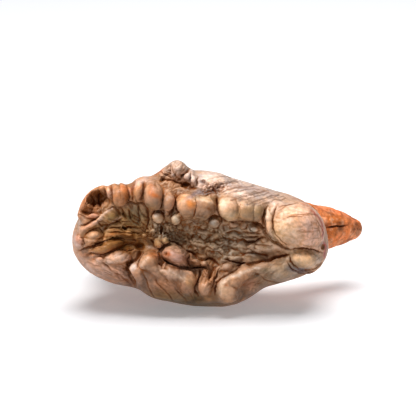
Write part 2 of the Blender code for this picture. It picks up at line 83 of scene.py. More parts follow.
# The solid's furrows are filled on the chewing face, so that only the creases are left: how many
# times, in how many rounds of evening out, how much of it, and the hollow that stays open.
FILL_TIMES = 2
FILL_ROUNDS = 70
FILL_SHARE = 0.90
FILL_NOT = (-17.8, 6.2, 2.2, 2.2, 0)

# How much deeper than listed the creases are pressed, how much of that is their wide shoulders,
# and how wide the shoulders, the middle and its dark line are beside the listed half width.
CREASE_DEPTH = 1.65
CREASE_SHOULDER = 0.50
SHOULDER_WIDTH = 1.8
MIDDLE_WIDTH = 0.75
DARK_WIDTH = 0.70

# How much higher than listed the beads and the broad swellings stand, and how soft their edges are.
PILLOW_HEIGHT = 1.5
PILLOW_EDGE = 0.7
SWELL_HEIGHT = 1.4
SWELL_EDGE = 1.5

# Lines drawn by noise: how far the valleys beside them reach and how wide their dark middle is.
WRINKLE_REACH = 0.30
WRINKLE_LINE = 0.11
GRAIN_EDGE = 0.35

# The wrinkles of the left half all run towards one place.
FAN = (-7.0, -0.8)
FAN_AREA = (-14.8, 1.8, 6.6, 5.4, 0)
FAN_RIBS = 8.0
FAN_HEIGHT = 0.30
FAN_DARKNESS = 0.45

# The relief of the whole skin: its grain, what the roots have more of it, its waves, the bark and
# the pits of the cement, and the furrows of the hidden roots.
FINE_RELIEF = 0.035
ROOT_RELIEF = 0.06
WAVE_RELIEF = 0.12
BARK_RELIEF = 0.10
PIT_RELIEF = 0.30
FURROW_RELIEF = 0.45
BARK_STRETCH = (0.45, 1.0, 0.45)
FURROW_STRETCH = (1.0, 1.0, 0.20)

# Colours, as display values from 0 to 255.
ENAMEL = (193, 152, 120)
ROOT = (218, 140, 96)
HIDDEN_ROOT = (156, 126, 100)
NECK_RED = (128, 66, 54)
# The brown of the dark lines: partly staining, partly painted shade.
CREASE_DIRT_AND_SHADE_BROWN = (76, 36, 11)
# The brown of the painted shade in the hollows.
HOLLOW_SHADE_BROWN = (138, 80, 34)

# The enamel's overall shade, its mottling, and how its red, green and blue drift.
ENAMEL_SHADE = 0.64
MOTTLE = 0.17
WARM_DRIFT = (0.10, -0.02, -0.16)

# Painted shade and highlight: how strongly fine and wide hollows are darkened brown as painted
# shade, how dark the lines are (partly staining, partly painted shade), and how much paler the
# ridges are painted as a painted highlight.
FINE_HOLLOW_SHADE = 0.52
WIDE_HOLLOW_SHADE = 0.30
LINE_DIRT_AND_SHADE = 0.85
RIDGE_PAINTED_HIGHLIGHT = (0.66, 0.62, 0.62)

# How saturated the darkest colours are, how fast that falls as they get lighter, where it stops,
# and how saturated the roots are. The weights of red, green and blue say how light a colour is.
SATURATION = 1.38
SATURATION_FALL = 1.05
SATURATION_LEAST = 0.8
ROOT_SATURATION = 1.12
LIGHTNESS = (0.30, 0.59, 0.11)


def table(text, path_after=None):
    """The rows of a table: each is a name and its numbers.

    A line that starts with a space goes on with the row above it. Where the rows end in a path, it
    comes after that many numbers, as an array of points.
    """
    rows = []
    for line in text.strip().splitlines():
        words = line.split()
        if line.startswith(" "):
            rows[-1] += map(float, words)
        elif not line.startswith("#"):
            rows.append([words[0], *map(float, words[1:])])
    if path_after is None:
        return rows
    return [[*row[:path_after + 1], np.reshape(row[path_after + 1:], (-1, 2))] for row in rows]


# Creases pressed into the chewing face: name, depth, half width, how dark (a line painted along
# them, partly staining and partly painted shade), and the path.
CREASES = table("""
# Upper left rim.
hollow_low .35 .28 .9  -20.2 3.9  -18.6 3.85  -17.2 4  -16.2 4.5
pip_left .3 .22 .8  -16.2 8.3  -16.1 7  -15.9 6  -15.2 5.4
pip_right .35 .2 .8  -15.1 8.7  -14.9 7.2  -14.9 6  -14.5 5.2
rib_1 .08 .14 .15  -13.6 8.5  -13.5 7  -13.5 5.6
rib_2 .25 .18 .65  -12.3 8.7  -12 7.6  -12 6.2  -12.4 5.2
rib_3 .3 .22 .6  -11 9.2  -11.3 8.3  -11.3 7  -11.3 5.6
rib_4 .28 .2 .5  -9.2 9.4  -9.4 7.9  -9.7 6.6  -9.8 5.6
rim_foot_1 .32 .24 .7  -14.4 5.1  -13.7 4.6  -12.8 4.8  -11.6 5.6  -10.6 5.3  -9.7 5.5  -9 4.6
  -8.3 3.8
cusp_1_cleft .15 .16 .5  -7.6 9.2  -7.6 8.3  -7.4 7.6
cusp_1_right .32 .2 .6  -6 7.2  -6.3 6.2  -6.3 5  -6.5 4.1
cusp_2_foot .35 .22 .8  -6.2 4.4  -5.2 3.3  -4.7 3.6  -4.2 4.6  -3.9 5.6  -3.8 6.8
bead_ring_1 .32 .17 .64  -8.1 3.4  -8 2.5  -7.3 1.95  -6.4 2  -5.9 2.6  -5.9 3.3  -6.5 4.05
  -7.5 4.1  -8.1 3.4
bead_ring_2 .32 .17 .64  -4.6 3.9  -4.85 2.9  -4.6 1.9  -3.9 1.5  -3.1 1.8  -2.9 2.6
# The tall cusp and what stands beside it.
side_under .42 .26 .9  -7.2 9.7  -6 9.6  -5 9.5  -4 9.3  -3 9  -2.2 8.6  -1.2 8.3  0 8.2
side_left .35 .2 .8  -6.5 11  -6 10.4  -5.2 10.1  -4.6 9.6
side_ring .3 .16 .8  -5.9 10.9  -5.5 11.3  -5 11.2  -4.9 10.6  -5.3 10.3  -5.8 10.5  -5.9 10.9
side_right .35 .2 .8  -1.3 11.5  -2 11  -2.9 10.2  -3.2 9.6
side_mid .22 .17 .6  -4.5 11.2  -3.9 10.5  -3.6 9.8
side_lobes .28 .17 .7  -1.3 10.9  -1.3 10  -1.5 9.2
side_lobe_end .25 .18 .7  -.1 10.2  -.1 9.3  -.3 8.4
rough_1 .22 .3 .8  .3 9.4  1 9.1  1.6 8.8
rough_2 .12 .22 .55  .6 7.3  1.8 7.5  2.6 7.7  3.5 8.3  4.6 8.5
rough_3 .25 .25 .8  2.2 8.5  2.9 7.6  3.1 6.8
# The broad cusps.
cusp_i_left .45 .24 .9  -3.9 6.6  -3.9 5.6  -3.8 4.6  -3.4 3.7  -2.8 3.2
cusp_ij .5 .22 1  3.2 6.6  3.2 5.4  3.3 4.4  3.7 3.3  4.5 2.4  5.2 2.15
cusp_jk_foot .45 .22 1  4.8 2.2  6.6 2.35  8.2 2.3  9.4 2.05  10.4 1.7  11 1  11.3 .3
cusp_jk .12 .16 .35  7.2 5.1  7.2 4  7.1 2.9
bead_ring_3 .35 .17 .72  1.7 2.2  2 2.95  2.8 3.3  3.6 3  3.9 2.2  3.5 1.5  2.6 1.25  1.9 1.6
bead_ring_4 .28 .14 .64  5 1.9  5.6 1.25  6.6 1.2  7.1 1.8
bead_ring_5 .28 .14 .64  7.1 1.7  7.5 .9  8.3 1  8.5 1.7
bead_ring_6 .3 .14 .64  8.5 1.5  9 .7  10 .4  10.8 .8
# The smooth end wall, its crescent and the lobe under it.
crescent_outer .4 .2 .9  12 5  11.6 4.2  11.1 3  11 1.6  11.2 .4  12 -.6  13 -1.4  14.5 -2.1
  15.8 -2.6
crescent_inner .14 .13 .6  13.6 5.2  13.3 4  12.8 2.6  12.9 1.2  13.4 0  14.4 -1.1  15.6 -1.9
end_line .3 .16 .9  15.8 -2.6  16.6 -2.35  18 -2.3  19.4 -2.5  20.4 -2.8  21.3 -3
collar_inner .35 .18 .9  15.6 -3.5  15.8 -4.4  16.4 -5.3  17.4 -5.95  18.8 -6.15  20.2 -5.7
  21.2 -4.8
collar_outer .3 .17 .9  15.3 -4.4  15.9 -5.6  17.2 -6.5  18.8 -6.8  20.2 -6.2
# The right basin and the long ridge below it.
basin_low .5 .24 1  4.4 -4.2  6 -4.5  7.6 -4.95  9 -4.85  10.5 -4.5  12 -4.1  13.5 -3.75
  15.6 -3.5
ridge_inner .45 .22 1  2.8 -10.3  2.85 -9.2  3.1 -8.2  3.7 -7.4  5.3 -6.6  6.5 -5.8  7.6 -5
basin_mid .25 .18 .7  6.6 -2.9  8.2 -3.2  10.4 -3.3  12.4 -3.5
swell_top .28 .18 .8  7 -1  8.4 -1.2  9.6 -1.1  10.6 -.7  11.6 -.6
fold_a .28 .17 .8  7.2 .5  8.6 .4  9.8 .25  11 0
fold_b .25 .17 .7  6.8 -.3  8.4 -.4  9.8 -.4  10.9 -.7
# The short lobes.
notch .55 .22 1  .4 -5.7  .25 -6.9  -.2 -7.9  -.6 -8.8  -.55 -9.7  0 -10.6
fold_1 .35 .17 .9  3.6 -5  2.6 -5.5  2.2 -6.3  2 -7.2  1.7 -7.8
fold_2 .3 .16 .8  3.9 -5.6  3.4 -6.4  2.9 -7.4  2.6 -8.6  2.2 -9.4
fold_3 .25 .15 .8  .9 -6  1.4 -6.6  1.8 -7.2
fold_4 .28 .16 .8  3.8 -5  5 -4.8  6.2 -4.7
# The large lower ridge.
egg_low .5 .23 .9  -6.4 -2.9  -6.4 -3.7  -5.8 -4.6  -4.8 -5.4  -3.5 -5.8  -2.5 -6  -1 -5.7
  .3 -5.6  1.8 -5.3
egg_top .45 .22 1  -5.8 -.3  -5 -1.1  -4 -1.35  -3 -1.8  -2.2 -2.5  -.8 -3.1  0 -3.9  .8 -4.15
  2 -4.2  3 -4.6  3.8 -5
egg_tail .3 .18 .8  -1.6 -3.4  -1.9 -4.2  -1.7 -5  -1.2 -5.5
knot_ring .35 .18 .9  -8.3 -.2  -8 -1.2  -7.5 -2.1  -6.8 -2.6  -6.2 -2.3  -5.8 -1.8  -5.1 -1.4
knot_split .25 .14 .8  -6.3 -.4  -6.3 -1.1  -5.8 -1.7
valley_left .55 .28 1  -9.8 -2.3  -10.3 -3.4  -10.9 -4.2  -12 -4.8  -12.4 -5.7  -12 -6.8
  -11.4 -8  -10.8 -9
valley_fork .3 .2 .8  -9.5 -2.3  -9.7 -3.4  -10.2 -4.6  -10.5 -5.6
crest_fold .2 .2 .45  -6.6 -5  -6.2 -5.7  -5.2 -6.2
# The left basin.
long_crack .35 .17 1  -20.6 -2.8  -19.6 -2.5  -18.6 -2.15  -17.6 -1.6  -16.3 -1  -15 -.6
  -13.4 -.45  -11.6 -.6  -10.2 -.9
log_low .28 .2 .7  -19.2 -3.4  -17.8 -3.2  -16.6 -3.2  -15.2 -2.8  -13.6 -2.7  -12 -2.7
  -10.6 -2.4
end_left .22 .2 .7  -20.7 -.2  -19.9 -.6  -19.6 -1.5  -20 -2.3
block_c .2 .16 .45  -19.8 -.2  -19 .5  -18 1.1  -16.8 1.2  -16.4 .2  -16.5 -.9
rib_b .4 .2 .9  -20.6 1.5  -19.4 1.9  -18.3 2.6  -17.3 3.1  -16.9 3.8
block_a_low .35 .18 .8  -17.2 2.3  -16.6 1.5  -15.6 1.6  -14.4 2.1  -13.2 2.7
block_a_top .25 .18 .7  -17 3.8  -15.9 4.6  -14.9 4.7  -13.8 4  -13.1 2.9
finger_1 .35 .18 .8  -13.1 4.4  -13 3.4  -12.7 2.6
finger_2 .32 .17 .8  -12 4.6  -12 3.6  -11.8 2.4
finger_3 .32 .18 .8  -10.4 5.2  -10.3 4  -10.2 2.6  -10.6 1.8
finger_4 .35 .2 .9  -9 4.6  -8.6 3.2  -8.6 2  -8.8 1
band_1 .32 .16 .9  -15.8 1.2  -14.6 1.3  -13 1.2  -11.4 1.3  -10.2 1
band_2 .32 .16 .9  -15.6 .4  -14.2 .35  -12.6 .35  -11.2 .4  -9.8 0
band_3 .22 .13 .7  -13.8 2.2  -12.4 2.1  -11.2 2
wall_crest .22 .2 .6  -16.6 -4.6  -16 -5.2  -15.2 -6
hollow_rib_1 .25 .22 .7  -18.6 7  -18 5.9  -17.9 4.8
hollow_rib_2 .3 .24 .8  -17.4 8  -17.1 6.8  -17.2 5.8  -16.8 4.8
# The root's long crack.
root_crack .55 .17 1  22.1 1.3  23.4 1.45  24.6 1.6  25.9 1.85
root_notch .4 .22 .7  27.5 1.1  28.4 1
""", path_after=3)

# Hair cracks and faint lines: name, depth, half width, how dark, and the path.
CRACKS = table("""
end_crack_1 .1 .1 .9  13.6 4.5  14.4 5  15.5 5.2  16.8 5.4
end_crack_2 .1 .1 .9  14.6 3  16 3.2  17.8 3.2  19.2 3.7  20 3.4
end_crack_3 .06 .09 .7  17 .5  18.2 .55  19.6 .5
end_crack_4 .06 .09 .7  19.4 1.2  20.2 1.1  21.1 1.1
end_crack_6 .06 .09 .7  20.6 2.3  20.7 1.2  21 .2  21 -1
end_crack_7 .06 .08 .6  18.6 2  19.4 2.1  20.6 1.9
end_crack_8 .05 .08 .55  19.2 -.6  20.2 -.5  21.2 -.4
end_crack_9 .06 .08 .6  19.8 -4.6  20.6 -4.1  21.3 -3.6
end_crack_5 .08 .09 .75  20 3.3  20.3 2.6  20.7 2  21.3 1.1  21.7 0  21.9 -1.2
ridge_edge .12 .14 .55  10.6 -6.8  11.3 -7.6  12.6 -8.1  14.4 -8.3  16 -8.1
ridge_foot .12 .14 .5  6.2 -9.9  6.5 -10.8  7 -11.6
ridge_under .1 .14 .45  9.2 -8.9  10.2 -8.4  11.4 -7.9
ridge_line_1 .14 .13 .75  -9.6 -6.4  -9 -7.6  -8.7 -9  -8 -10.2  -7.1 -11
ridge_line_2 .14 .13 .8  -7.4 -7  -7.1 -8.3  -5.9 -9.3  -5 -10.4  -4.2 -11.6
ridge_line_3 .12 .12 .75  -4.4 -8.6  -3.7 -9.6  -2.6 -10.7  -1.8 -11.6
ridge_line_4 .08 .11 .55  -1.8 -9.4  -1.2 -10.4  -.7 -11.4
ridge_line_5 .08 .11 .55  -5.9 -6.9  -5.2 -7.9  -4.6 -8.6
wall_line_1 .16 .16 .75  -14.9 -6.3  -13.5 -7  -12.4 -7.9  -11.5 -8.7
wall_line_2 .12 .14 .65  -14.4 -5.7  -13.2 -6.2  -12.3 -6.9
side_stripe .12 .12 .5  -.9 10.2  -.8 9.4  -.8 8.6
cusp_j_mid .1 .12 .35  6 5.2  6.1 4.3  5.9 3.4
cusp_k_mid .1 .12 .35  9 4.9  9.1 4  9 3.1
cusp_i_mid .06 .15 .15  -.5 5.8  -.3 5  -.6 4
""", path_after=3)

# Low pillows raised out of the skin: name, place, half sizes, turn in degrees and height.
PILLOWS = table("""
bead_2 -7 3 .9 .85 0 .62
bead_1 -5.55 3.75 .36 .6 8 .51
bead_3 -3.85 2.75 .75 1 -8 .43
bead_4 2.8 2.25 .9 .8 0 .68
bead_5 6.1 1.75 .8 .42 -6 .43
bead_6 7.8 1.65 .6 .5 30 .43
bead_7 9.6 1.2 .85 .55 -14 .43
pip -15.5 7.3 .42 1.15 -6 .25
bar_m 12.2 2.3 .55 2.4 8 .15
grey_1 -1.8 2.6 .8 .55 10 .3
grey_2 -3.2 1.2 .6 .45 -20 .35
grey_3 -2 1.1 .55 .4 10 .3
grey_4 -.7 1.9 .55 .4 0 .25
knot_1 -7 -1.6 .68 .7 0 .3
knot_2 -5.8 -1 .55 .48 0 .3
knot_3 -8.1 -.6 .3 .28 0 .3
knot_4 -9.3 -.1 .34 .36 0 .3
knot_5 -8.8 .8 .32 .3 0 .25
tail_1 -.5 -4.4 .7 .4 -10 .25
tail_2 .95 -4.85 .65 .33 -6 .3
star_1 -7.35 1.55 .4 .36 40 .28
star_2 -5.55 1.75 .36 .42 20 .28
star_3 -5.35 .8 .36 .46 0 .26
star_4 -5.85 -.05 .42 .3 20 .24
star_5 -7.25 .1 .4 .34 -30 .26
star_6 -7.65 .8 .3 .38 0 .24
star_7 -6.55 1.95 .4 .26 0 .24
star_8 -4.6 1 .42 .34 -30 .24
star_9 -4.4 .2 .45 .3 10 .22
small_1 -6 -5.5 .4 .4 0 .22
small_2 -10 1.6 .45 .35 0 .25
small_3 9.3 -1.8 .65 .35 10 .22
small_4 11.2 -.85 .6 .3 -12 .22
wall_pip -16.9 -4.2 .65 .25 -8 .25
fold_lobe 5 -5.6 1.2 .6 14 .2
side_bead -6.2 10.3 .45 .35 30 .2
side_lobe -1.95 10.2 .6 .75 30 .22
side_strip -.9 9.4 .45 .8 -8 .2
""")

# Broad swellings, in the same terms.
SWELLS = table("""
cusplets -13.5 6.9 2.1 2.5 0 .45
cusplet_4 -10.4 7.4 1.1 2.2 -8 .45
cusp_e -7.7 6.6 2.1 3 6 .75
cusp_f -5.1 6 1.6 2.3 -8 .6
cusp_i -.4 5.1 3.9 2.4 0 .55
cusp_i_left -2.2 5.2 2 2.4 -14 .3
cusp_i_foot -.4 3.2 3.4 1.7 0 .45
cusp_jk 7.4 4.2 4.8 2.6 -8 .6
cusp_j 5 4.6 2.2 2.8 18 .35
cusp_k 9.2 3.9 2 2 0 .15
seam_jk 7.25 4.4 1.3 2 0 .34
seam_k 10.1 3.9 .8 1.8 0 .3
seam_i -.75 5.1 1.3 2.4 0 .34
seam_b -13.3 7.1 1.1 2.2 0 .42
seam_c -14.3 6.9 .6 1.8 0 .18
end_wall 17 1.4 4.6 4.2 -10 .6
end_lobe 18.2 -4.2 2.8 1.8 -14 .5
crescent 12.2 2.2 .8 3.2 8 .3
egg -3.6 -3.7 3.3 1.7 -27 .45
lobe_w 1 -8.2 1.6 2.8 0 .35
lobe_x 5.2 -9.2 2.6 3.2 -30 .4
lobe_x_side 6.6 -10.4 2.4 1.8 30 .35
ridge_y_1 7.4 -7 2.6 1.5 40 .4
ridge_y_2 11.2 -5.7 3.2 1.3 14 .35
ridge_z 14.4 -6.3 3.2 1.8 12 .3
ridge_u_1 -8.6 -4.8 2.4 1.5 -20 .35
ridge_u_2 -5.4 -7.6 4.2 2.4 -14 .45
ridge_u_3 -1.8 -8.4 1.8 2.2 0 .4
ridge_tip -10.8 -6 1.8 2.8 30 .25
lobe_x_2 5 -5.6 1.4 .8 14 .35
crest_j -13.8 -4 2.6 1.1 6 .4
block_c -18 -.3 1.6 1.2 26 .4
log_d -15.8 -2.1 3.2 .8 14 .35
block_a -15.2 3.2 1.7 1.2 24 .3
rib_b -18.4 1.8 2 .45 30 .3
nub_i -18.2 3.4 1 .5 10 .35
swell_q 10.6 -2 3.2 1.2 0 .35
peak -3.5 11.5 1.8 1.6 0 .3
side_lobe_1 -4.3 10.3 .55 .9 0 .25
""")

# Low banks that half fill the widest furrows: name, height, half width and path.
BANKS = table("""
under_egg .9 .65  -6.6 -3.4  -6 -4.8  -4.8 -5.7  -3 -6.1  -1.2 -6  .4 -5.7  1.6 -5.5
over_egg .4 .5  -5.6 -.7  -4.2 -1.6  -2.6 -2.4  -1.2 -3.3
over_log .75 .6  -16 -.8  -14.5 -.5  -12.6 -.4  -10.8 -.7
under_log .5 .5  -18.2 -3.3  -16.4 -3.1  -14.6 -2.8  -12.4 -2.7  -10.6 -2.5
basin_low .5 .5  4.4 -4.3  6.2 -4.6  7.8 -4.9
notch .4 .45  .2 -6.4  -.4 -8.2  -.5 -9.6
""", path_after=2)

# Pits sunk into the skin: name, place, half sizes and depth. The depth also sets how dark the pit
# is painted, as painted shade.
PITS = table("""
side_hole -2.2 8.75 .75 .35 .8
side_notch -3.3 9.6 .35 .3 .4
star -6.4 .9 .28 .55 .55
star_2 -5.6 .4 .3 .3 .4
egg_pit -5.4 -3.4 .28 .28 .35
ring_pit -5.4 10.8 .28 .28 .35
end_pit_1 -20 -1.7 .22 .18 .25
end_pit_2 -19.7 -1.2 .18 .16 .2
rough_pit_1 2.6 7.8 .3 .22 .35
rough_pit_2 3.4 8.3 .3 .2 .3
rough_pit_3 .8 9.3 .3 .2 .25
rim_spot 21.5 -2 .3 .4 .3
green_spot 10.2 -6.8 .45 .35 .3
left_deep -10.2 -2 .7 .6 .5
""")

# Soft patches of colour, laid one over the other: name, place, half sizes, turn, strength, colour.
# The bead tops are painted highlights, and the lower foot is partly painted shade.
# Darker along the bottom of the lower ridge: partly its own olive tone, partly painted shade.
# Painted highlights on the tops of the beads.
STAINS = table("""
# Wide areas first.
upper_wall 7 8.6 13 2.2 -16 .85  238 208 190
peak -3.5 11.6 2.6 1.8 0 .8  192 160 138
end_wall 16.8 1.4 5.2 4.6 -10 1  244 191 152
end_wall_mid 15 1 2.8 2.6 0 .45  222 184 140
end_wall_right 19.6 1.5 1.9 3.4 0 .6  248 188 156
end_lobe 18.2 -4 2.6 1.7 -12 .8  228 190 144
left_end -19 .5 3 4 0 .55  206 156 130
left_wall -16.5 -6 5.5 2.6 -16 .75  220 168 138
lower_ridge -5.6 -8.8 6.6 3.4 -10 .85  156 120 98
lower_foot -2 -11.4 7.5 1.4 -4 .8  150 122 86
long_ridge 8.6 -7.3 6.5 2.4 24 .7  176 138 110
ridge_cream 14.2 -6.2 3.6 2.1 14 .8  176 154 130
ridge_low 8 -9.6 2.8 1.5 24 .6  170 130 104
ridge_head 4.6 -9.6 1.9 2 0 .7  190 152 122
basin 3.2 -1 7.6 3.2 -4 .9  190 164 134
basin_centre -5.4 .3 3.4 2 0 .85  178 152 122
basin_right 10.6 -2 4.2 1.9 0 .7  188 160 134
left_basin -13.4 1.2 5.8 3.2 0 .8  194 154 104
left_dark -12.2 -1.6 3.8 1.6 8 .62  116 82 50
left_hollow -17.9 6 2.5 2.3 0 .85  196 146 108
# Cusps.
cusplets -13.2 7.2 2.4 2.2 0 .75  166 114 80
pip -15.5 7.4 .5 1.2 -6 .6  206 168 146
cusplet_4 -10.4 7.6 1 2 -6 .7  176 134 98
cusp_e -7.8 6.8 1.9 2.6 6 .8  164 126 104
cusp_f -5.2 5.8 1.2 2 -12 .7  156 122 98
cusp_i -.8 5.4 3.4 1.9 0 .85  172 128 104
cusp_i_right 1.6 5.2 1.7 1.5 0 .6  176 140 110
cusp_i_foot -.4 3.1 3.2 1.2 -6 .7  144 122 102
cusp_j 5 4.4 2.1 2.4 12 .85  204 168 138
cusp_j_low 5.8 3.2 1.8 .9 0 .5  188 162 118
cusp_k 9.2 3.9 2.2 1.8 0 .75  150 126 98
cusp_k_dark 11 4.1 1 1.4 0 .5  124 104 76
crescent 12.3 2.2 .8 3.2 6 .75  214 180 148
egg -4 -3.7 2.5 1.5 -20 .8  180 138 120
lobe_w 1 -8.8 1.3 1.9 0 .75  190 150 120
lobe_t 1.8 -6.4 1.6 1.3 0 .6  158 116 86
lobe_x 4.8 -5.6 1.8 .9 14 .65  184 146 116
crest_j -14 -4 2.9 1 6 .8  206 166 138
block_c -18.2 -.3 1.6 1.2 24 .75  204 156 118
log_d -16 -2.2 3.4 .8 14 .8  140 104 70
block_a -15.2 3.1 1.8 1.3 24 .75  160 130 104
block_a_mid -15 3.1 1 .8 24 .6  112 96 60
block_h -19.6 2.9 .9 .8 0 .65  140 104 82
nub_i -18 3.4 .9 .45 10 .7  196 140 116
rib_b -18.6 1.8 1.7 .4 30 .7  214 160 130
fingers -10.9 3.5 2 1.7 0 .75  128 116 92
# Small stains.
orange_i -1.3 5.1 1.1 .9 0 .7  206 132 62
peach_i -2.9 5.5 .7 1.2 0 .6  228 172 122
spot_i 1.6 4.7 .35 .3 0 .6  150 90 50
cream_i .8 6.1 1.8 .45 0 .4  226 196 156
bright_j 3.9 5.2 .7 .8 0 .65  236 214 176
orange_e -7.4 7 1 .45 -20 .7  184 108 56
brown_e -7.9 8.3 .35 .6 0 .5  168 104 64
cream_e -8.7 7.2 .6 1 0 .45  206 160 124
orange_b -12.8 8.3 .7 .6 0 .55  198 116 62
orange_b2 -12.6 7 .5 .9 0 .45  196 120 66
orange_d -10.3 8.4 .7 .6 0 .45  210 128 68
hollow_dark_1 -17.4 6.9 .9 1.3 -20 .35  84 38 18
hollow_dark_2 -18.3 5 1 .7 20 .35  88 42 20
hollow_rim -19.3 6.2 .5 1.9 -24 .6  192 126 88
hollow_spur -16.8 5.3 .45 .4 0 .55  132 106 100
foot_e -8 5.1 1.4 .9 0 .6  124 106 82
wedge -11.5 8.3 .35 .9 -14 .65  110 48 24
blue_5 -.3 7.1 1.3 .5 20 .65  132 116 114
blue_6 -3.2 7.6 1.4 .4 20 .45  138 120 110
orange_top -6.6 11.2 1.2 .5 40 .6  178 96 48
pink_top -9.2 9.4 1.8 .5 14 .6  240 200 180
cream_peak -3.2 12.3 1.4 .7 0 .3  206 180 158
blue_1 .8 9.3 .9 .35 -12 .8  100 100 108
blue_2 2.9 7.8 1.5 .7 24 .85  98 96 102
blue_3 1 7.2 1.4 .5 6 .7  126 116 114
blue_4 3.2 6.9 .5 .8 0 .5  110 100 94
pink_wall 1.6 8.3 1.6 .5 -8 .5  230 190 170
end_orange -20.8 -.8 .8 1 0 .4  204 134 110
end_orange_2 -18.8 -3.2 1.2 .4 6 .5  160 98 60
band_orange -13.6 .7 2.2 .35 0 .4  160 106 60
band_orange_2 -14.6 0 1.4 .3 8 .5  168 100 56
bead_2 -7 3 .9 .85 0 .75  168 136 108
bead_1 -5.5 3.8 .35 .55 0 .65  206 176 154
bead_3 -3.9 2.8 .75 1 0 .65  180 158 130
bead_4 2.8 2.3 .85 .75 0 .75  164 142 120
bead_5 6.1 1.8 .8 .42 0 .65  172 140 118
bead_7 9.6 1.2 .8 .5 -14 .85  196 184 164
knot_1 -7 -1.6 .6 .65 0 .7  172 134 92
knot_2 -5.8 -1 .4 .35 0 .6  166 136 84
star_pale -6.4 .9 1.6 1.5 0 .65  206 184 156
star -6.4 .9 .35 .6 0 .6  46 40 42
egg_end -1.6 -4.7 1.1 .6 -20 .65  92 50 26
bead_2_top -7.2 3.4 .55 .45 0 .8  236 206 176
bead_3_top -4.1 3.1 .45 .55 0 .5  226 210 184
bead_4_top 2.6 2.6 .6 .45 0 .8  230 208 182
egg_orange -5.45 -3.3 .45 .4 0 .6  164 84 36
egg_cream -3.6 -2.9 1.2 .4 -22 .4  200 156 124
ridge_orange -7.6 -3.4 .9 .5 -20 .45  166 98 56
ridge_yellow -1.4 -7.9 .9 .8 0 .3  196 160 108
ridge_tip -11.4 -5.3 .8 .7 30 .75  224 194 170
ridge_crest -4.6 -6.9 3.4 .5 -14 .5  206 166 136
head_orange 5.1 -9 .35 .3 0 .5  160 92 50
head_cream 3.9 -9.2 .8 1.2 0 .35  236 208 178
ridge_peach 7.6 -7 1.8 .7 40 .6  214 160 120
ridge_pink 8.8 -8.2 1.4 .7 24 .45  170 118 96
green_spot 10.2 -6.8 .6 .45 0 .6  84 76 60
foot_dark_1 -1.2 -11.2 .7 .4 20 .45  70 56 38
foot_dark_2 .6 -11 .6 .5 -30 .4  76 60 40
foot_dark_3 7.4 -10.6 1.2 .7 30 .45  104 82 64
ridge_grey -6.6 -6.9 .5 .35 0 .45  112 88 64
end_olive 13.8 .6 1.2 1.8 10 .35  206 176 128
green_spot_2 11.4 -5.9 .6 .4 0 .5  120 110 84
collar 17.6 -5.9 2 .5 -10 .7  120 118 126
rim_black 21.5 -2 .4 .5 0 .65  64 50 46
rim_dark 20.6 -4.6 1 .9 0 .35  120 88 70
""")

# Painted lines: name, half width, strength, colour and the path. The pale crest lines are painted
# highlights.
# Painted highlight: a pale line along the crest at the left.
# Painted highlights: pale lines along the crests and rims of cusp i and the lower ridges.
LINES = table("""
margin_pale .2 .55  214 176 158  17.6 6.2  19.4 5.2  20.8 3.8  21.8 2  22.4 0  22.4 -2.2
block_a_edge .2 .6  216 182 158  -17.5 2.2  -16.7 3.3  -15.4 4.6
block_a_foot .16 .6  210 178 158  -16.3 1.1  -14.8 1.95  -13.2 2.9
crest_i .16 .6  230 194 160  -.6 5.75  1.2 5.85  2.8 5.75
rim_i .22 .55  232 190 150  -3.7 4.8  -3.6 6  -2.9 6.9  -1.8 7.2
ridge_crest_line .26 .65  230 198 168  4.4 -8.4  6 -7.4  7.4 -6.6  9 -6  10.6 -5.5
crest_u_1 .3 .5  236 198 168  -10.3 -6.4  -9.5 -5.1  -8.5 -4
crest_u_2 .3 .5  222 184 154  -6.4 -6.2  -4.6 -6.8  -2.8 -7.2  -1.2 -7.3
crest_v .25 .45  228 184 150  -11.9 -5.2  -11.6 -6.2  -11 -7.4
stripe_1 .15 .85  112 86 72  5.6 5.7  7.2 6.5  9 7.2  11.2 7.8
stripe_2 .14 .85  104 80 66  8.4 5.2  9.8 5.9  11.6 6.7  13.6 7.3
stripe_3 .15 .8  116 94 82  3.6 7.2  5.6 7.9  7.6 8.3  9.6 8.6
stripe_4 .13 .75  124 100 88  3 8.4  4.8 9  6.8 9.2
stripe_5 .12 .8  120 92 74  10.6 5  11.8 5.7  13.4 6.3  15 6.6
stripe_6 .12 .8  114 88 74  6.6 5.8  8.4 6.3  10.2 7  12 7.5
stripe_7 .1 .75  110 84 72  4.6 6.9  6.4 7.6  8.4 8  10.4 8.1
stripe_8 .1 .7  118 92 78  9.4 4.9  10.6 5.7  12.4 6.6  14.6 7
stripe_9 .09 .65  122 98 84  1.8 9.4  3.6 9.9  5.6 9.8
stripe_10 .11 .7  126 100 84  6 6.4  7.8 7.2  9.8 7.7  12 7.9
end_line_1 .1 .6  118 72 44  13.6 4.7  14.6 5.1  15.8 5.3  17 5.5
end_line_2 .09 .6  128 78 48  13.4 3.2  16 3.1  18.4 3.3  20 3.7
end_line_3 .07 .55  140 84 58  19.2 2.4  19.6 1  19.7 -.6  19.5 -2.2
end_line_4 .07 .55  136 80 56  20.2 2.6  20.7 1  20.9 -.8  20.7 -2.6
end_line_5 .07 .5  140 88 60  16.8 .6  18.2 .7  19.6 .4  21 .5
end_line_6 .08 .55  104 64 44  16 -2.5  18 -2.4  20 -2.8  21.4 -3.1
pink_band .35 .35  222 176 154  4 8  7 8.4  10 8.2  13 7.2
crest_line .14 .55  226 184 152  -16.2 -4.6  -14.2 -4.55  -12.2 -4.2
wall_brown .3 .45  124 74 44  -14.4 -6.7  -13 -7.6  -11.6 -8.6
""", path_after=5)

# The red line where the enamel ends beside the root, and the lines on the root.
MARGIN = table("""
margin .24 .9  170 72 64  16.4 6.5  18.4 5.4  19.9 4.3  20.9 2.9  21.6 1.2  21.9 -.6  21.9 -2.4
  21.5 -4
""", path_after=5)

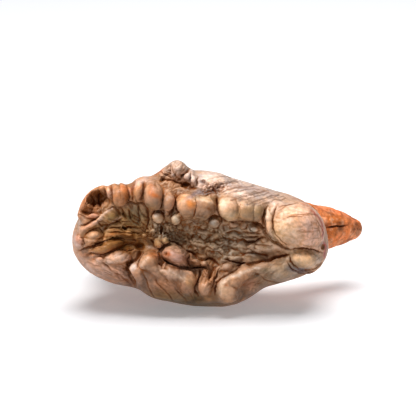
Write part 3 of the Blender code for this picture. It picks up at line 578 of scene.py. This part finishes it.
ROOT_LINES = table("""
root_top .45 .5  214 134 102  20.4 4.8  22.6 4.5  25 3.6  27 2.5
root_grey .3 .6  120 92 78  24.2 1.1  24.7 1.05
""", path_after=5)

# The root's clouds, spots and bark: name, strength, contrast, shift and colour.
ROOT_SPOTS = table("""
pale_cloud .75 2.6 0  218 164 134
orange_cloud .7 -2.8 0  184 110 62
pale_spot .65 2.6 -.2  226 180 150
brown_spot .65 -2.6 -.2  142 82 50
bark .55 2.8 -.4  128 72 40
""")

# Areas of fine relief: name, place, half sizes, turn, the grain's size along and across, height
# and how dark its gaps are.
GRAINS = table("""
basin 3 -1.2 6.6 3.1 -14 2.2 1.4 .5 .45
basin_small 1 -1 6 2.6 -6 .7 .5 .13 .25
centre -5.8 .5 3 1.8 0 .6 .55 .28 .35
rough_top 2.6 8 2.4 1.1 16 .55 .36 .16 .45
""")

# Areas of wrinkles, in the same terms.
WRINKLES = table("""
basin 3 -1 6.8 3.2 -10 2.2 1.3 .24 .45
right_basin 10.4 -2 4 2 -8 2.6 1.1 .24 .5
hollow -17.8 6 2.4 2.4 65 1.8 .6 .24 .3
saddle -3.2 7.7 3 .9 25 1.2 .5 .16 .45
peak -5.6 10.8 1.6 1.2 30 .8 .45 .16 .5
egg -3 -4 2.4 1.4 -28 1.2 .6 .12 .3
cusp_i_foot -.6 3 3.2 1.2 0 1.2 .7 .16 .35
lower_folds 2 -6.4 2.8 1.8 75 1.6 .6 .22 .45
side -4.4 10.5 2.8 1.5 50 1.4 .6 .18 .4
upper_wall 3.5 8.2 5 1.6 12 2.2 .7 .08 .25
rough_top 2.4 8 2.6 1.2 20 1.1 .45 .16 .5
lower_ridge -5.4 -8.6 6.6 3.2 -50 2.6 1.3 .08 .22
long_ridge 11 -7 6.5 2.2 24 2.4 1 .06 .2
left_wall -15.5 -6 5 2.4 -24 2.8 .9 .08 .25
end_wall 17 1 5 5 -10 3.2 1.8 .05 .12
""")


def unit(value):
    return np.clip(value, 0.0, 1.0)


def smooth(value):
    value = unit(value)
    return value * value * (3 - 2 * value)


def ramp(value, start, end):
    """0 on the start's side, 1 on the end's side, and smooth between them."""
    return smooth((value - start) / (end - start))


def bell(gap, half_width):
    return np.exp(-(gap / half_width) ** 2)


def linear(colour):
    """Display values from 0 to 255 as linear light."""
    value = np.asarray(colour, float) / 255
    return np.where(value <= 0.04045, value / 12.92, ((value + 0.055) / 1.055) ** 2.4)


def hashed(cells, seed):
    """A steady pseudo-random number from 0 to 1 for each row of whole numbers."""
    mixed = np.full(len(cells), seed * 7919 + 17, np.uint64)
    for i, factor in enumerate((73856093, 19349663, 83492791)[:cells.shape[1]]):
        mixed ^= (cells[:, i].astype(np.int64) + 100000).astype(np.uint64) * np.uint64(factor)
        mixed *= np.uint64(2654435761)
        mixed ^= mixed >> np.uint64(15)
    return (mixed % np.uint64(1000003)).astype(float) / 1000003


def wave_noise(points, size, seed):
    """Smooth noise from -1 to 1 with features of about that size."""
    places = points / size
    base = np.floor(places).astype(int)
    t = smooth(places - base)
    total = np.zeros(len(points))
    for corner in np.ndindex(*(2,) * points.shape[1]):
        weight = np.ones(len(points))
        for axis, side in enumerate(corner):
            weight *= t[:, axis] if side else 1 - t[:, axis]
        total += weight * hashed(base + np.array(corner), seed)
    return total * 2 - 1


def layered_noise(points, size, seed, layers=3):
    """Smooth noise with finer and fainter layers over the first."""
    total, scale = np.zeros(len(points)), 0.0
    for i in range(layers):
        total += wave_noise(points, size / 2 ** i, seed + i) / 1.8 ** i
        scale += 1 / 1.8 ** i
    return total / scale


def pebbles(points, seed):
    """For each point, the distance to its pebble's middle and to the gap beside it."""
    base = np.floor(points).astype(int)
    first = np.full(len(points), 9.0)
    second = np.full(len(points), 9.0)
    for step in np.ndindex(3, 3):
        cell = base + np.array(step) - 1
        middle = cell + np.stack([hashed(cell, seed), hashed(cell, seed + 5)], axis=1)
        gap = np.linalg.norm(points - middle, axis=1)
        second = np.minimum(second, np.maximum(first, gap))
        first = np.minimum(first, gap)
    return first, second - first


def path_distance(points, path):
    """The distance to a path, how far along it the nearest place is, and the path's length."""
    nearest = np.full(len(points), np.inf)
    travelled = np.zeros(len(points))
    done = 0.0
    for start, end in zip(path, path[1:]):
        along = end - start
        length = math.hypot(*along)
        share = unit(((points - start) @ along) / (along @ along))
        gap = np.linalg.norm(points - start - share[:, None] * along, axis=1)
        closer = gap < nearest
        nearest = np.where(closer, gap, nearest)
        travelled = np.where(closer, done + share * length, travelled)
        done += length
    return nearest, travelled, done


def near_path(points, path, margin):
    """Which points lie in the path's box with a margin round it."""
    low, high = path.min(axis=0) - margin, path.max(axis=0) + margin
    return np.flatnonzero(((points >= low) & (points <= high)).all(axis=1))


def tapered(travelled, length, tip, reach):
    """A line's strength: that of its tip at both ends, and 1 further in than the reach."""
    return tip + (1 - tip) * smooth(np.minimum(travelled, length - travelled) / reach)


def turned(points, u, v, turn_deg):
    """The points about a place, turned back by an angle."""
    turn = math.radians(turn_deg)
    du, dv = points[:, 0] - u, points[:, 1] - v
    return (du * math.cos(turn) + dv * math.sin(turn),
            -du * math.sin(turn) + dv * math.cos(turn))


def patch(points, u, v, ru, rv, turn, edge=0.70):
    """A soft patch's weight: 1 in the middle, falling to 0 a little outside its half sizes."""
    along, across = turned(points, u, v, turn)
    reach = np.hypot(along / ru, across / rv)
    return smooth((1 + edge - reach) / (2 * edge))


def mound(points, u, v, ru, rv, turn, edge):
    """A mound's height: 1 in the middle and 0 from its half sizes on."""
    along, across = turned(points, u, v, turn)
    return unit(1 - (along / ru) ** 2 - (across / rv) ** 2) ** edge


def wandering(points, size, seed, reach):
    """The points moved about by smooth noise, so that nothing laid out on them is exact."""
    moved = np.stack([layered_noise(points, size, seed), layered_noise(points, size, seed + 13)],
                     axis=1)
    return points + moved * reach


def crease_field(seen):
    """How far each point is pressed in by the creases and pits, and how dark they are painted:
    partly staining, partly painted shade.
    """
    places = wandering(seen, 1.2, 11, 0.22)
    uneven = layered_noise(seen, 1.7, 31, 2)
    stain = layered_noise(seen, 0.9, 37, 2)
    sink = np.zeros(len(seen))
    dark = np.zeros(len(seen))
    for _, depth, half_width, darkness, path in CREASES:
        near = near_path(places, path, half_width * 8)
        gap, travelled, length = path_distance(places[near], path)
        width = half_width * (1 + 0.35 * uneven[near])
        closed = (path[0] == path[-1]).all()
        taper = 1.0 if closed else tapered(travelled, length, 0.25, 0.9)
        press = CREASE_SHOULDER * np.exp(-gap / (width * SHOULDER_WIDTH))
        press += (1 - CREASE_SHOULDER) * bell(gap, width * MIDDLE_WIDTH)
        press *= CREASE_DEPTH * depth * taper * (1 + 0.3 * uneven[near])
        sink[near] = np.maximum(sink[near], press)
        # The crease's dark line: partly staining, partly painted shade in the crease.
        line = bell(gap, width * DARK_WIDTH) * (0.85 + 0.55 * stain[near])
        dark[near] = np.maximum(dark[near], darkness * taper * line)
    for _, u, v, ru, rv, depth in PITS:
        reach = np.hypot((places[:, 0] - u) / ru, (places[:, 1] - v) / rv)
        reach = reach * (1 + 0.35 * stain) + 0.12 * uneven
        sink = np.maximum(sink, depth * smooth(1.5 - reach))
        # Painted shade: the deeper the pit, the darker it is painted.
        dark = np.maximum(dark, unit(depth * 1.3) * 0.75 * smooth(1.15 - reach))
    return sink, unit(dark)


def crack_field(seen):
    """The hair cracks: how deep and how dark."""
    places = wandering(seen, 0.9, 51, 0.10)
    uneven = layered_noise(seen, 1.3, 57, 2)
    sink = np.zeros(len(seen))
    dark = np.zeros(len(seen))
    for _, depth, half_width, darkness, path in CRACKS:
        near = near_path(places, path, half_width * 5)
        gap, travelled, length = path_distance(places[near], path)
        line = tapered(travelled, length, 0.2, 1.2) * bell(gap, half_width)
        sink[near] = np.maximum(sink[near], depth * line)
        dark[near] = np.maximum(dark[near], darkness * line * (0.85 + 0.6 * uneven[near]))
    return sink, unit(dark)


def wrinkle_lines(wave, places):
    """How far each place is from where the wave crosses zero, and how clearly it does so there."""
    step = 0.05
    level = wave(places)
    slope = np.hypot(wave(places + (step, 0.0)) - level, wave(places + (0.0, step)) - level) / step
    return np.abs(level) / np.maximum(slope, 0.3), smooth(slope / 0.6)


def wrinkle_waves():
    """Each area of wrinkles with the wave whose zero lines they follow."""
    for i, (_, u, v, ru, rv, turn, long, short, height, darkness) in enumerate(WRINKLES):
        def wave(places, u=u, v=v, turn=turn, long=long, short=short, seed=90 + i):
            along, across = turned(wandering(places, 1.5, 71, 0.40), u, v, turn)
            return layered_noise(np.stack([along / long, across / short], axis=1), 1.0, seed, 2)
        yield (u, v, ru, rv, turn), height, darkness, wave

    def fan_wave(places):
        ring = wandering(places, 2.0, 121, 0.45) - FAN
        far = np.hypot(*ring.T)
        turn = np.arctan2(ring[:, 1], -ring[:, 0])
        fan = np.stack([np.log(far + 1.5) * 1.6, turn * FAN_RIBS], axis=1)
        return layered_noise(fan, 1.0, 127, 2)
    yield FAN_AREA, FAN_HEIGHT, FAN_DARKNESS, fan_wave


def grain_field(seen):
    """The pebbly and wrinkled areas: how high they rise and how dark their gaps are."""
    rise = np.zeros(len(seen))
    dark = np.zeros(len(seen))
    places = wandering(seen, 1.5, 71, 0.40)
    spots = layered_noise(seen, 1.6, 83, 2)
    for i, (_, u, v, ru, rv, turn, long, short, height, darkness) in enumerate(GRAINS):
        weight = patch(seen, u, v, ru, rv, turn, GRAIN_EDGE)
        near = np.flatnonzero(weight > 0.01)
        along, across = turned(places[near], u, v, turn)
        first, gap = pebbles(np.stack([along / long, across / short], axis=1), 40 + i)
        dome = smooth(gap * 1.6) * (1 - 0.45 * first) - 0.45
        rise[near] += weight[near] * height * dome
        line = smooth(1 - gap * 4.5) * unit(0.35 + 1.3 * spots[near])
        dark[near] = np.maximum(dark[near], weight[near] * darkness * line)
    for area, height, darkness, wave in wrinkle_waves():
        weight = patch(seen, *area, GRAIN_EDGE)
        near = np.flatnonzero(weight > 0.01)
        gap, clear = wrinkle_lines(wave, seen[near])
        rise[near] -= weight[near] * clear * height * np.exp(-gap / WRINKLE_REACH)
        line = bell(gap, WRINKLE_LINE) * unit(0.45 + 1.3 * spots[near])
        dark[near] = np.maximum(dark[near], weight[near] * clear * darkness * line)
    return rise, unit(dark)


def pillow_field(seen):
    """How far the beads, the banks and the broad swellings stand out."""
    places = wandering(seen, 1.1, 61, 0.20)
    rise = np.zeros(len(seen))
    for _, *area, height in PILLOWS:
        rise += PILLOW_HEIGHT * height * mound(places, *area, PILLOW_EDGE)
    for _, height, half_width, path in BANKS:
        near = near_path(places, path, half_width * 3)
        gap, _, _ = path_distance(places[near], path)
        rise[near] += height * bell(gap, half_width)
    for _, *area, height in SWELLS:
        rise += SWELL_HEIGHT * height * mound(places, *area, SWELL_EDGE)
    return rise


class Skin:
    """The tooth's skin in its own frame, in millimetres."""

    def __init__(self, mesh, to_row, box):
        self.mesh = mesh
        self.box = box
        self.to_row = np.array(to_row)
        self.from_row = np.linalg.inv(self.to_row)
        self.read()

    def read(self):
        flat = np.empty(len(self.mesh.vertices) * 3, np.float32)
        self.mesh.vertices.foreach_get("co", flat)
        row = flat.reshape(-1, 3).astype(float)
        self.points = (row @ self.from_row[:3, :3].T + self.from_row[:3, 3]) / MM
        self.mesh.vertex_normals.foreach_get("vector", flat)
        self.normals = flat.reshape(-1, 3).astype(float) @ self.from_row[:3, :3].T
        edges = np.empty(len(self.mesh.edges) * 2, np.int32)
        self.mesh.edges.foreach_get("vertices", edges)
        self.edges = edges.reshape(-1, 2)
        depth = AIM[2] - self.points[:, 2]
        scale = CAMERA_DISTANCE / (CAMERA_DISTANCE + depth)
        self.seen = np.array(AIM[:2]) + (self.points[:, :2] - AIM[:2]) * scale[:, None]

    def write(self):
        row = self.points * MM @ self.to_row[:3, :3].T + self.to_row[:3, 3]
        row = np.clip(row, *self.box)
        self.mesh.vertices.foreach_set("co", row.astype(np.float32).ravel())
        self.mesh.update()
        self.read()

    def spread(self, values, passes):
        """The values evened out between neighbours, that many times."""
        count = len(values)
        a, b = self.edges.T
        degree = np.maximum(np.bincount(a, minlength=count) + np.bincount(b, minlength=count), 1)
        columns = values.reshape(count, -1).astype(float).T
        for _ in range(passes):
            columns = [0.5 * column + 0.5 * (np.bincount(a, column[b], count)
                                             + np.bincount(b, column[a], count)) / degree
                       for column in columns]
        return np.stack(columns, axis=1).reshape(values.shape)

    def facing(self, start, end):
        """How much each point faces out of the chewing face, between two slopes."""
        return ramp(self.normals[:, 2], start, end)

    def along_normals(self, moves):
        return (moves * self.normals).sum(axis=1)


def base_skin(node):
    """The solid's surface as a mesh of its own."""
    mesh = node.data.copy()
    bm = bmesh.new()
    bm.from_mesh(mesh)
    bmesh.ops.remove_doubles(bm, verts=bm.verts, dist=1e-6)
    bm.to_mesh(mesh)
    bm.free()
    mesh.materials.clear()
    obj = bpy.data.objects.new("tooth_skin", mesh)
    bpy.context.scene.collection.objects.link(obj)
    return obj


def apply_modifiers(obj):
    graph = bpy.context.evaluated_depsgraph_get()
    mesh = bpy.data.meshes.new_from_object(obj.evaluated_get(graph))
    obj.modifiers.clear()
    obj.data = mesh


def even_faces(obj, step):
    """Cuts the surface into small even faces."""
    remesh = obj.modifiers.new("even", "REMESH")
    remesh.mode = "VOXEL"
    remesh.voxel_size = step * MM
    apply_modifiers(obj)


def hidden_roots(skin):
    """1 on the roots behind the crown, 0 on the crown and on the root that the photo shows."""
    return ramp(skin.points[:, 2], -1.0, -3.0) * ramp(skin.points[:, 0], 17.0, 13.0)


def bark(skin):
    return layered_noise(skin.points * BARK_STRETCH, 0.7, 271)


def rounded(skin, passes, share=None):
    """Evens the surface out without shrinking what stands out."""
    before = skin.points
    after = skin.spread(before, passes)
    lost = skin.along_normals(before - after)
    after = after + skin.normals * skin.spread(lost, passes // 2)[:, None]
    if share is not None:
        after = before + (after - before) * share[:, None]
    skin.points = after
    skin.write()


def fill_furrows(skin):
    even = skin.spread(skin.points, FILL_ROUNDS)
    hollow = skin.along_normals(even - skin.points)
    face = ramp(skin.points[:, 2], 0.5, 2.5) * skin.facing(-0.15, 0.15)
    share = FILL_SHARE * ramp(hollow, 0, 0.12) * face * (1 - patch(skin.seen, *FILL_NOT))
    skin.points = skin.points + (even - skin.points) * share[:, None]
    skin.write()


def carve(skin):
    """Lays the listed relief on the side that faces out, and the fine relief on the whole skin."""
    sink, _ = crease_field(skin.seen)
    crack, _ = crack_field(skin.seen)
    rise, _ = grain_field(skin.seen)
    rise += pillow_field(skin.seen)
    way = skin.spread(skin.normals, 10)
    way /= np.linalg.norm(way, axis=1)[:, None]
    skin.points += way * ((rise - sink - crack) * skin.facing(0, 0.30))[:, None]

    roots = ramp(skin.points[:, 2], -0.2, -1.0)
    fine = layered_noise(skin.points, 1.1, 71)
    waves = layered_noise(skin.points, 2.6, 75, 2)
    pits = unit(layered_noise(skin.points, 0.8, 77, 2) - 0.25)
    furrows = layered_noise(skin.points * FURROW_STRETCH, 2.4, 281) * hidden_roots(skin)
    relief = fine * (FINE_RELIEF + ROOT_RELIEF * roots) + waves * WAVE_RELIEF
    relief -= (BARK_RELIEF * bark(skin) + PIT_RELIEF * pits) * roots
    relief += FURROW_RELIEF * furrows
    skin.points += skin.normals * relief[:, None]
    skin.write()


def thin_out(obj, skin):
    """Drops small faces, first of all on the sides the relief leaves plain."""
    plain = 1 - FRONT_SPARED * skin.facing(-0.35, 0)
    group = obj.vertex_groups.new(name="plain")
    levels = np.round(plain * 10).astype(int)
    for level in range(11):
        group.add(np.flatnonzero(levels == level).tolist(), max(level, 1) / 10, "REPLACE")
    count = sum(len(face.vertices) - 2 for face in obj.data.polygons)
    thin = obj.modifiers.new("thin_out", "DECIMATE")
    thin.ratio = min(1.0, SKIN_TRIANGLES / count)
    thin.vertex_group = "plain"
    thin.use_collapse_triangulate = True
    apply_modifiers(obj)


def hollow_depth(skin, passes):
    """How deep each point lies below the surface evened out that many times, in millimetres."""
    return skin.along_normals(skin.spread(skin.points, passes) - skin.points)


def lay(tint, weight, colour):
    tint += (linear(colour) - tint) * weight[:, None]


def lay_lines(tint, places, lines, weight=1.0):
    for _, half_width, strength, *colour, path in lines:
        gap, _, _ = path_distance(places, path)
        lay(tint, strength * bell(gap, half_width) * weight, colour)


def enamel_tint(skin):
    places = wandering(wandering(skin.seen, 2.4, 131, 0.60), 0.7, 137, 0.22)
    shown = ramp(skin.points[:, 2], -0.5, 1.0)
    tint = np.tile(linear(ENAMEL), (len(places), 1))
    for _, *area, strength, red, green, blue in STAINS:
        lay(tint, patch(places, *area) * strength * shown, (red, green, blue))
    lay_lines(tint, places, LINES, shown * skin.facing(-0.30, 0))
    lay_lines(tint, places, MARGIN, skin.facing(0.10, 0.35))
    mottle = layered_noise(skin.points, 2.2, 201, 4)
    warm = layered_noise(skin.points, 3.2, 231)
    tint *= (1 + MOTTLE * mottle)[:, None]
    tint *= 1 + warm[:, None] * np.array(WARM_DRIFT)
    return tint * ENAMEL_SHADE


def root_tint(skin, margin):
    tint = np.tile(linear(ROOT), (len(skin.points), 1))
    noises = {"cloud": layered_noise(skin.points, 2.6, 291, 4),
              "spot": layered_noise(skin.points, 0.9, 311), "bark": bark(skin)}
    for name, strength, contrast, shift, *colour in ROOT_SPOTS:
        noise = noises[name.split("_")[-1]]
        lay(tint, strength * smooth(noise * contrast + shift), colour)
    lay_lines(tint, skin.seen, ROOT_LINES)
    lay(tint, 0.72 * ramp(skin.points[:, 0], 17.0, 13.0), HIDDEN_ROOT)
    lay(tint, 0.65 * bell(skin.points[:, 2] + 0.4 - margin, 0.6), NECK_RED)
    return tint


def paint(skin):
    """Lays the colours on: returns the tint, how much dark lines and painted shade darken each
    point, and how root-like each point is.
    """
    tint = enamel_tint(skin)
    margin = 0.35 * layered_noise(skin.points[:, :2], 3.0, 251, 2)
    root = smooth((0.15 + margin - skin.points[:, 2]) / 0.7)
    tint += (root_tint(skin, margin) - tint) * root[:, None]

    fine, wide = hollow_depth(skin, 6), hollow_depth(skin, 60)
    lines = [field(skin.seen)[1] for field in (crease_field, crack_field, grain_field)]
    dark = np.max(lines, axis=0) * skin.facing(0, 0.25)
    patchy = 1 + 0.6 * layered_noise(skin.points, 1.2, 331)
    # Painted shade: the deeper a point lies in a hollow, the more it is darkened brown.
    hollow_shade = FINE_HOLLOW_SHADE * ramp(fine, 0, 0.060) + WIDE_HOLLOW_SHADE * ramp(wide, 0.04, 0.44)
    hollow_shade = unit(hollow_shade * patchy) * (1 - 0.5 * root)
    lay(tint, hollow_shade, HOLLOW_SHADE_BROWN)
    # Dark lines of the creases, cracks, pits and grain gaps, partly staining and partly painted
    # shade, and painted shade in the fine hollows.
    line_dirt_and_shade = unit(LINE_DIRT_AND_SHADE * dark + 0.35 * ramp(fine, 0.05, 0.12) * (1 - root))
    lay(tint, line_dirt_and_shade, CREASE_DIRT_AND_SHADE_BROWN)
    # Painted highlight: convex ridges are painted paler.
    ridge = (0.70 * unit(-fine / 0.025) + 0.30 * unit(-wide / 0.20)) * (1 - dark) * (1 - root)
    tint *= 1 + ridge[:, None] * np.array(RIDGE_PAINTED_HIGHLIGHT)

    grey = (tint @ np.array(LIGHTNESS))[:, None]
    strong = np.maximum(SATURATION - SATURATION_FALL * grey, SATURATION_LEAST)
    strong += (ROOT_SATURATION - strong) * root[:, None]
    tint = grey + (tint - grey) * strong
    return unit(tint), unit(np.maximum(line_dirt_and_shade, hollow_shade * 0.7)), root


def keep_attribute(mesh, name, values, kind="FLOAT"):
    attribute = mesh.attributes.new(name, kind, "POINT")
    if kind == "FLOAT_COLOR":
        rgba = np.ones((len(values), 4), np.float32)
        rgba[:, :3] = values
        attribute.data.foreach_set("color", rgba.ravel())
    else:
        attribute.data.foreach_set("value", values.astype(np.float32))


class Tree:
    """Short ways to add nodes to a material."""

    def __init__(self, material):
        material.use_nodes = True
        self.nodes = material.node_tree.nodes
        self.links = material.node_tree.links

    def add(self, kind, inputs=(), **settings):
        node = self.nodes.new("ShaderNode" + kind)
        for name, value in settings.items():
            setattr(node, name, value)
        self.connect(node, dict(inputs))
        return node.outputs[0]

    def connect(self, node, inputs):
        for name, value in inputs.items():
            if isinstance(value, bpy.types.NodeSocket):
                self.links.new(value, node.inputs[name])
            else:
                node.inputs[name].default_value = value

    def noise(self, place, scale, detail, roughness=0.6):
        return self.add("TexNoise", {"Vector": place, "Scale": scale, "Detail": detail,
                                     "Roughness": roughness})

    def ranged(self, value, source, target):
        """The value with its source range laid over the target range."""
        return self.add("MapRange", {"Value": value, "From Min": source[0], "From Max": source[1],
                                     "To Min": target[0], "To Max": target[1]})

    def math(self, operation, *values):
        return self.add("Math", dict(enumerate(values)), operation=operation)

    def times(self, *values):
        product = values[0]
        for value in values[1:]:
            product = self.math("MULTIPLY", product, value)
        return product

    def attribute(self, name, socket="Fac"):
        node = self.nodes.new("ShaderNodeAttribute")
        node.attribute_name = name
        return node.outputs[socket]


def crack_lines(tree, place, scale, wander, width):
    """Thin uneven lines between cells, from 1 on the line to 0 beside it."""
    drift = tree.add("VectorMath", {0: tree.noise(place, scale * 1.5, 4.0), 1: (wander,) * 3},
                     operation="MULTIPLY")
    moved = tree.add("VectorMath", {0: place, 1: drift}, operation="ADD")
    edge = tree.add("TexVoronoi", {"Vector": moved, "Scale": scale}, feature="DISTANCE_TO_EDGE")
    return tree.ranged(edge, (0.0, width), (1.0, 0.0))


def tooth_material():
    """Waxy enamel over matt, crumbly cement, coloured by the painted tint and broken up finely."""
    material = bpy.data.materials.new("fossil_tooth")
    tree = Tree(material)
    place = tree.nodes.new("ShaderNodeTexCoord").outputs["Object"]
    tint = tree.attribute("tint", "Color")
    # Dark lines and painted shade, which also make the surface rougher.
    line_dirt_and_shade = tree.attribute("line_dirt_and_shade")
    root = tree.attribute("root")
    enamel = tree.math("SUBTRACT", 1.0, root)

    speckle = tree.noise(place, scale=1500.0, detail=5.0)
    cloud = tree.noise(place, scale=420.0, detail=6.0, roughness=0.65)
    grain = tree.noise(place, scale=2600.0, detail=4.0)
    root_cracks = crack_lines(tree, place, scale=230.0, wander=0.004, width=0.05)
    hair_cracks = crack_lines(tree, place, scale=330.0, wander=0.004, width=0.025)
    few = tree.ranged(cloud, (0.52, 0.62), (0.0, 1.0))

    middle = (0.30, 0.70)
    shade = tree.ranged(speckle, middle, (0.80, 1.20))
    mottle = tree.math("MULTIPLY_ADD", tree.ranged(cloud, middle, (-0.45, 0.45)), root, 1.0)
    split = tree.math("MULTIPLY_ADD", tree.times(root_cracks, root, few), -0.30, 1.0)
    hair = tree.math("MULTIPLY_ADD", tree.times(hair_cracks, enamel, few), -0.30, 1.0)
    shade = tree.times(shade, mottle, split, hair)
    hue = tree.ranged(tree.noise(place, scale=600.0, detail=3.0), middle, (-0.5, 0.5))
    warm = tree.add("CombineXYZ", {0: tree.math("MULTIPLY_ADD", hue, 0.18, 1.0), 1: 1.0,
                                   2: tree.math("MULTIPLY_ADD", hue, -0.24, 1.0)})
    colour = tree.add("VectorMath", {0: tint, "Scale": shade}, operation="SCALE")
    colour = tree.add("VectorMath", {0: colour, 1: warm}, operation="MULTIPLY")

    rough = tree.math("MAXIMUM", tree.ranged(line_dirt_and_shade, (0.0, 1.0), (0.36, 0.70)),
                      tree.times(root, 0.72))
    height = tree.math("MULTIPLY_ADD", tree.times(root_cracks, root), -0.3, grain)
    height = tree.math("ADD", height, tree.times(cloud, root))
    bump = tree.add("Bump", {"Strength": 0.40, "Distance": 0.00015, "Height": height})
    tree.connect(tree.nodes["Principled BSDF"], {
        "Base Color": colour, "Roughness": rough, "Normal": bump, "Specular IOR Level": 0.30})
    return material


def make_floor():
    bpy.ops.mesh.primitive_plane_add(size=FLOOR_SIZE, location=(0, 0, 0))
    floor = bpy.context.object
    floor.name = "floor"
    material = bpy.data.materials.new("pale_floor")
    tree = Tree(material)
    tree.connect(tree.nodes["Principled BSDF"], FLOOR_LOOK)
    floor.data.materials.append(material)


def area_light(name, place, size, power):
    light = bpy.data.lights.new(name, "AREA")
    light.shape = "DISK"
    light.size = size
    light.energy = power
    obj = bpy.data.objects.new(name, light)
    obj.location = place
    obj.rotation_euler = (Vector(LIGHTS_AIM) - Vector(place)).to_track_quat("-Z", "Y").to_euler()
    bpy.context.scene.collection.objects.link(obj)
    return obj


def light_scene(tooth):
    world = bpy.data.worlds.new("studio")
    world.use_nodes = True
    sky = world.node_tree.nodes["Background"]
    sky.inputs["Color"].default_value = (1, 1, 1, 1)
    sky.inputs["Strength"].default_value = SKY_STRENGTH
    bpy.context.scene.world = world
    lit = bpy.data.collections.new("lit_by_key")
    lit.objects.link(tooth)
    area_light(*KEY_LIGHT).light_linking.receiver_collection = lit
    area_light(*TOP_LIGHT)
    view = bpy.context.scene.view_settings
    view.view_transform = "Standard"
    view.look = "None"
    view.gamma = VIEW_GAMMA


def make_camera(to_row):
    camera = bpy.data.cameras.new("camera")
    camera.lens = CAMERA_LENS
    camera.sensor_width = CAMERA_SENSOR
    camera.clip_start = 0.01
    obj = bpy.data.objects.new("camera", camera)
    out = (to_row.to_3x3() @ Vector((0, 0, 1))).normalized()
    obj.location = to_row @ (Vector(AIM) * MM) + out * CAMERA_DISTANCE * MM
    obj.rotation_euler = (math.radians(90 - LEAN_BACK_DEG), 0, 0)
    bpy.context.scene.collection.objects.link(obj)
    bpy.context.scene.camera = obj


def dress_tooth(node, to_row, box):
    obj = base_skin(node)
    even_faces(obj, COARSE_STEP)
    skin = Skin(obj.data, to_row, box)
    rounded(skin, COARSE_SMOOTHING)
    rounded(skin, ROOT_SMOOTHING, hidden_roots(skin))
    for _ in range(FILL_TIMES):
        fill_furrows(skin)
    even_faces(obj, SKIN_STEP)
    skin = Skin(obj.data, to_row, box)
    rounded(skin, SKIN_SMOOTHING)
    carve(skin)
    thin_out(obj, skin)
    skin = Skin(obj.data, to_row, box)
    skin.write()
    tint, line_dirt_and_shade, root = paint(skin)
    keep_attribute(obj.data, "tint", tint, "FLOAT_COLOR")
    keep_attribute(obj.data, "line_dirt_and_shade", line_dirt_and_shade)
    keep_attribute(obj.data, "root", root)
    obj.data.materials.append(tooth_material())
    obj.data.shade_smooth()
    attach(obj, "root")
    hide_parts("tooth")
    return obj


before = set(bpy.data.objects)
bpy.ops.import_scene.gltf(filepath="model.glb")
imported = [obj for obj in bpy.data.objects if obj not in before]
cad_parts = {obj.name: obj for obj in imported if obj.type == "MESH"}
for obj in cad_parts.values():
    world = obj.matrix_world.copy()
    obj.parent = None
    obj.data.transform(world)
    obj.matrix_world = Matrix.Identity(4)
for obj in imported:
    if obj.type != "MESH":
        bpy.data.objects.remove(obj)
solid_box = [list(corner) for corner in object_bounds()]
tooth_to_row = (Matrix.Translation(TOOTH_ORIGIN)
                @ Matrix.Rotation(math.radians(90 - LEAN_BACK_DEG), 4, "X"))
tooth_skin = dress_tooth(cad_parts["tooth"], tooth_to_row, solid_box)
make_floor()
light_scene(tooth_skin)
make_camera(tooth_to_row)
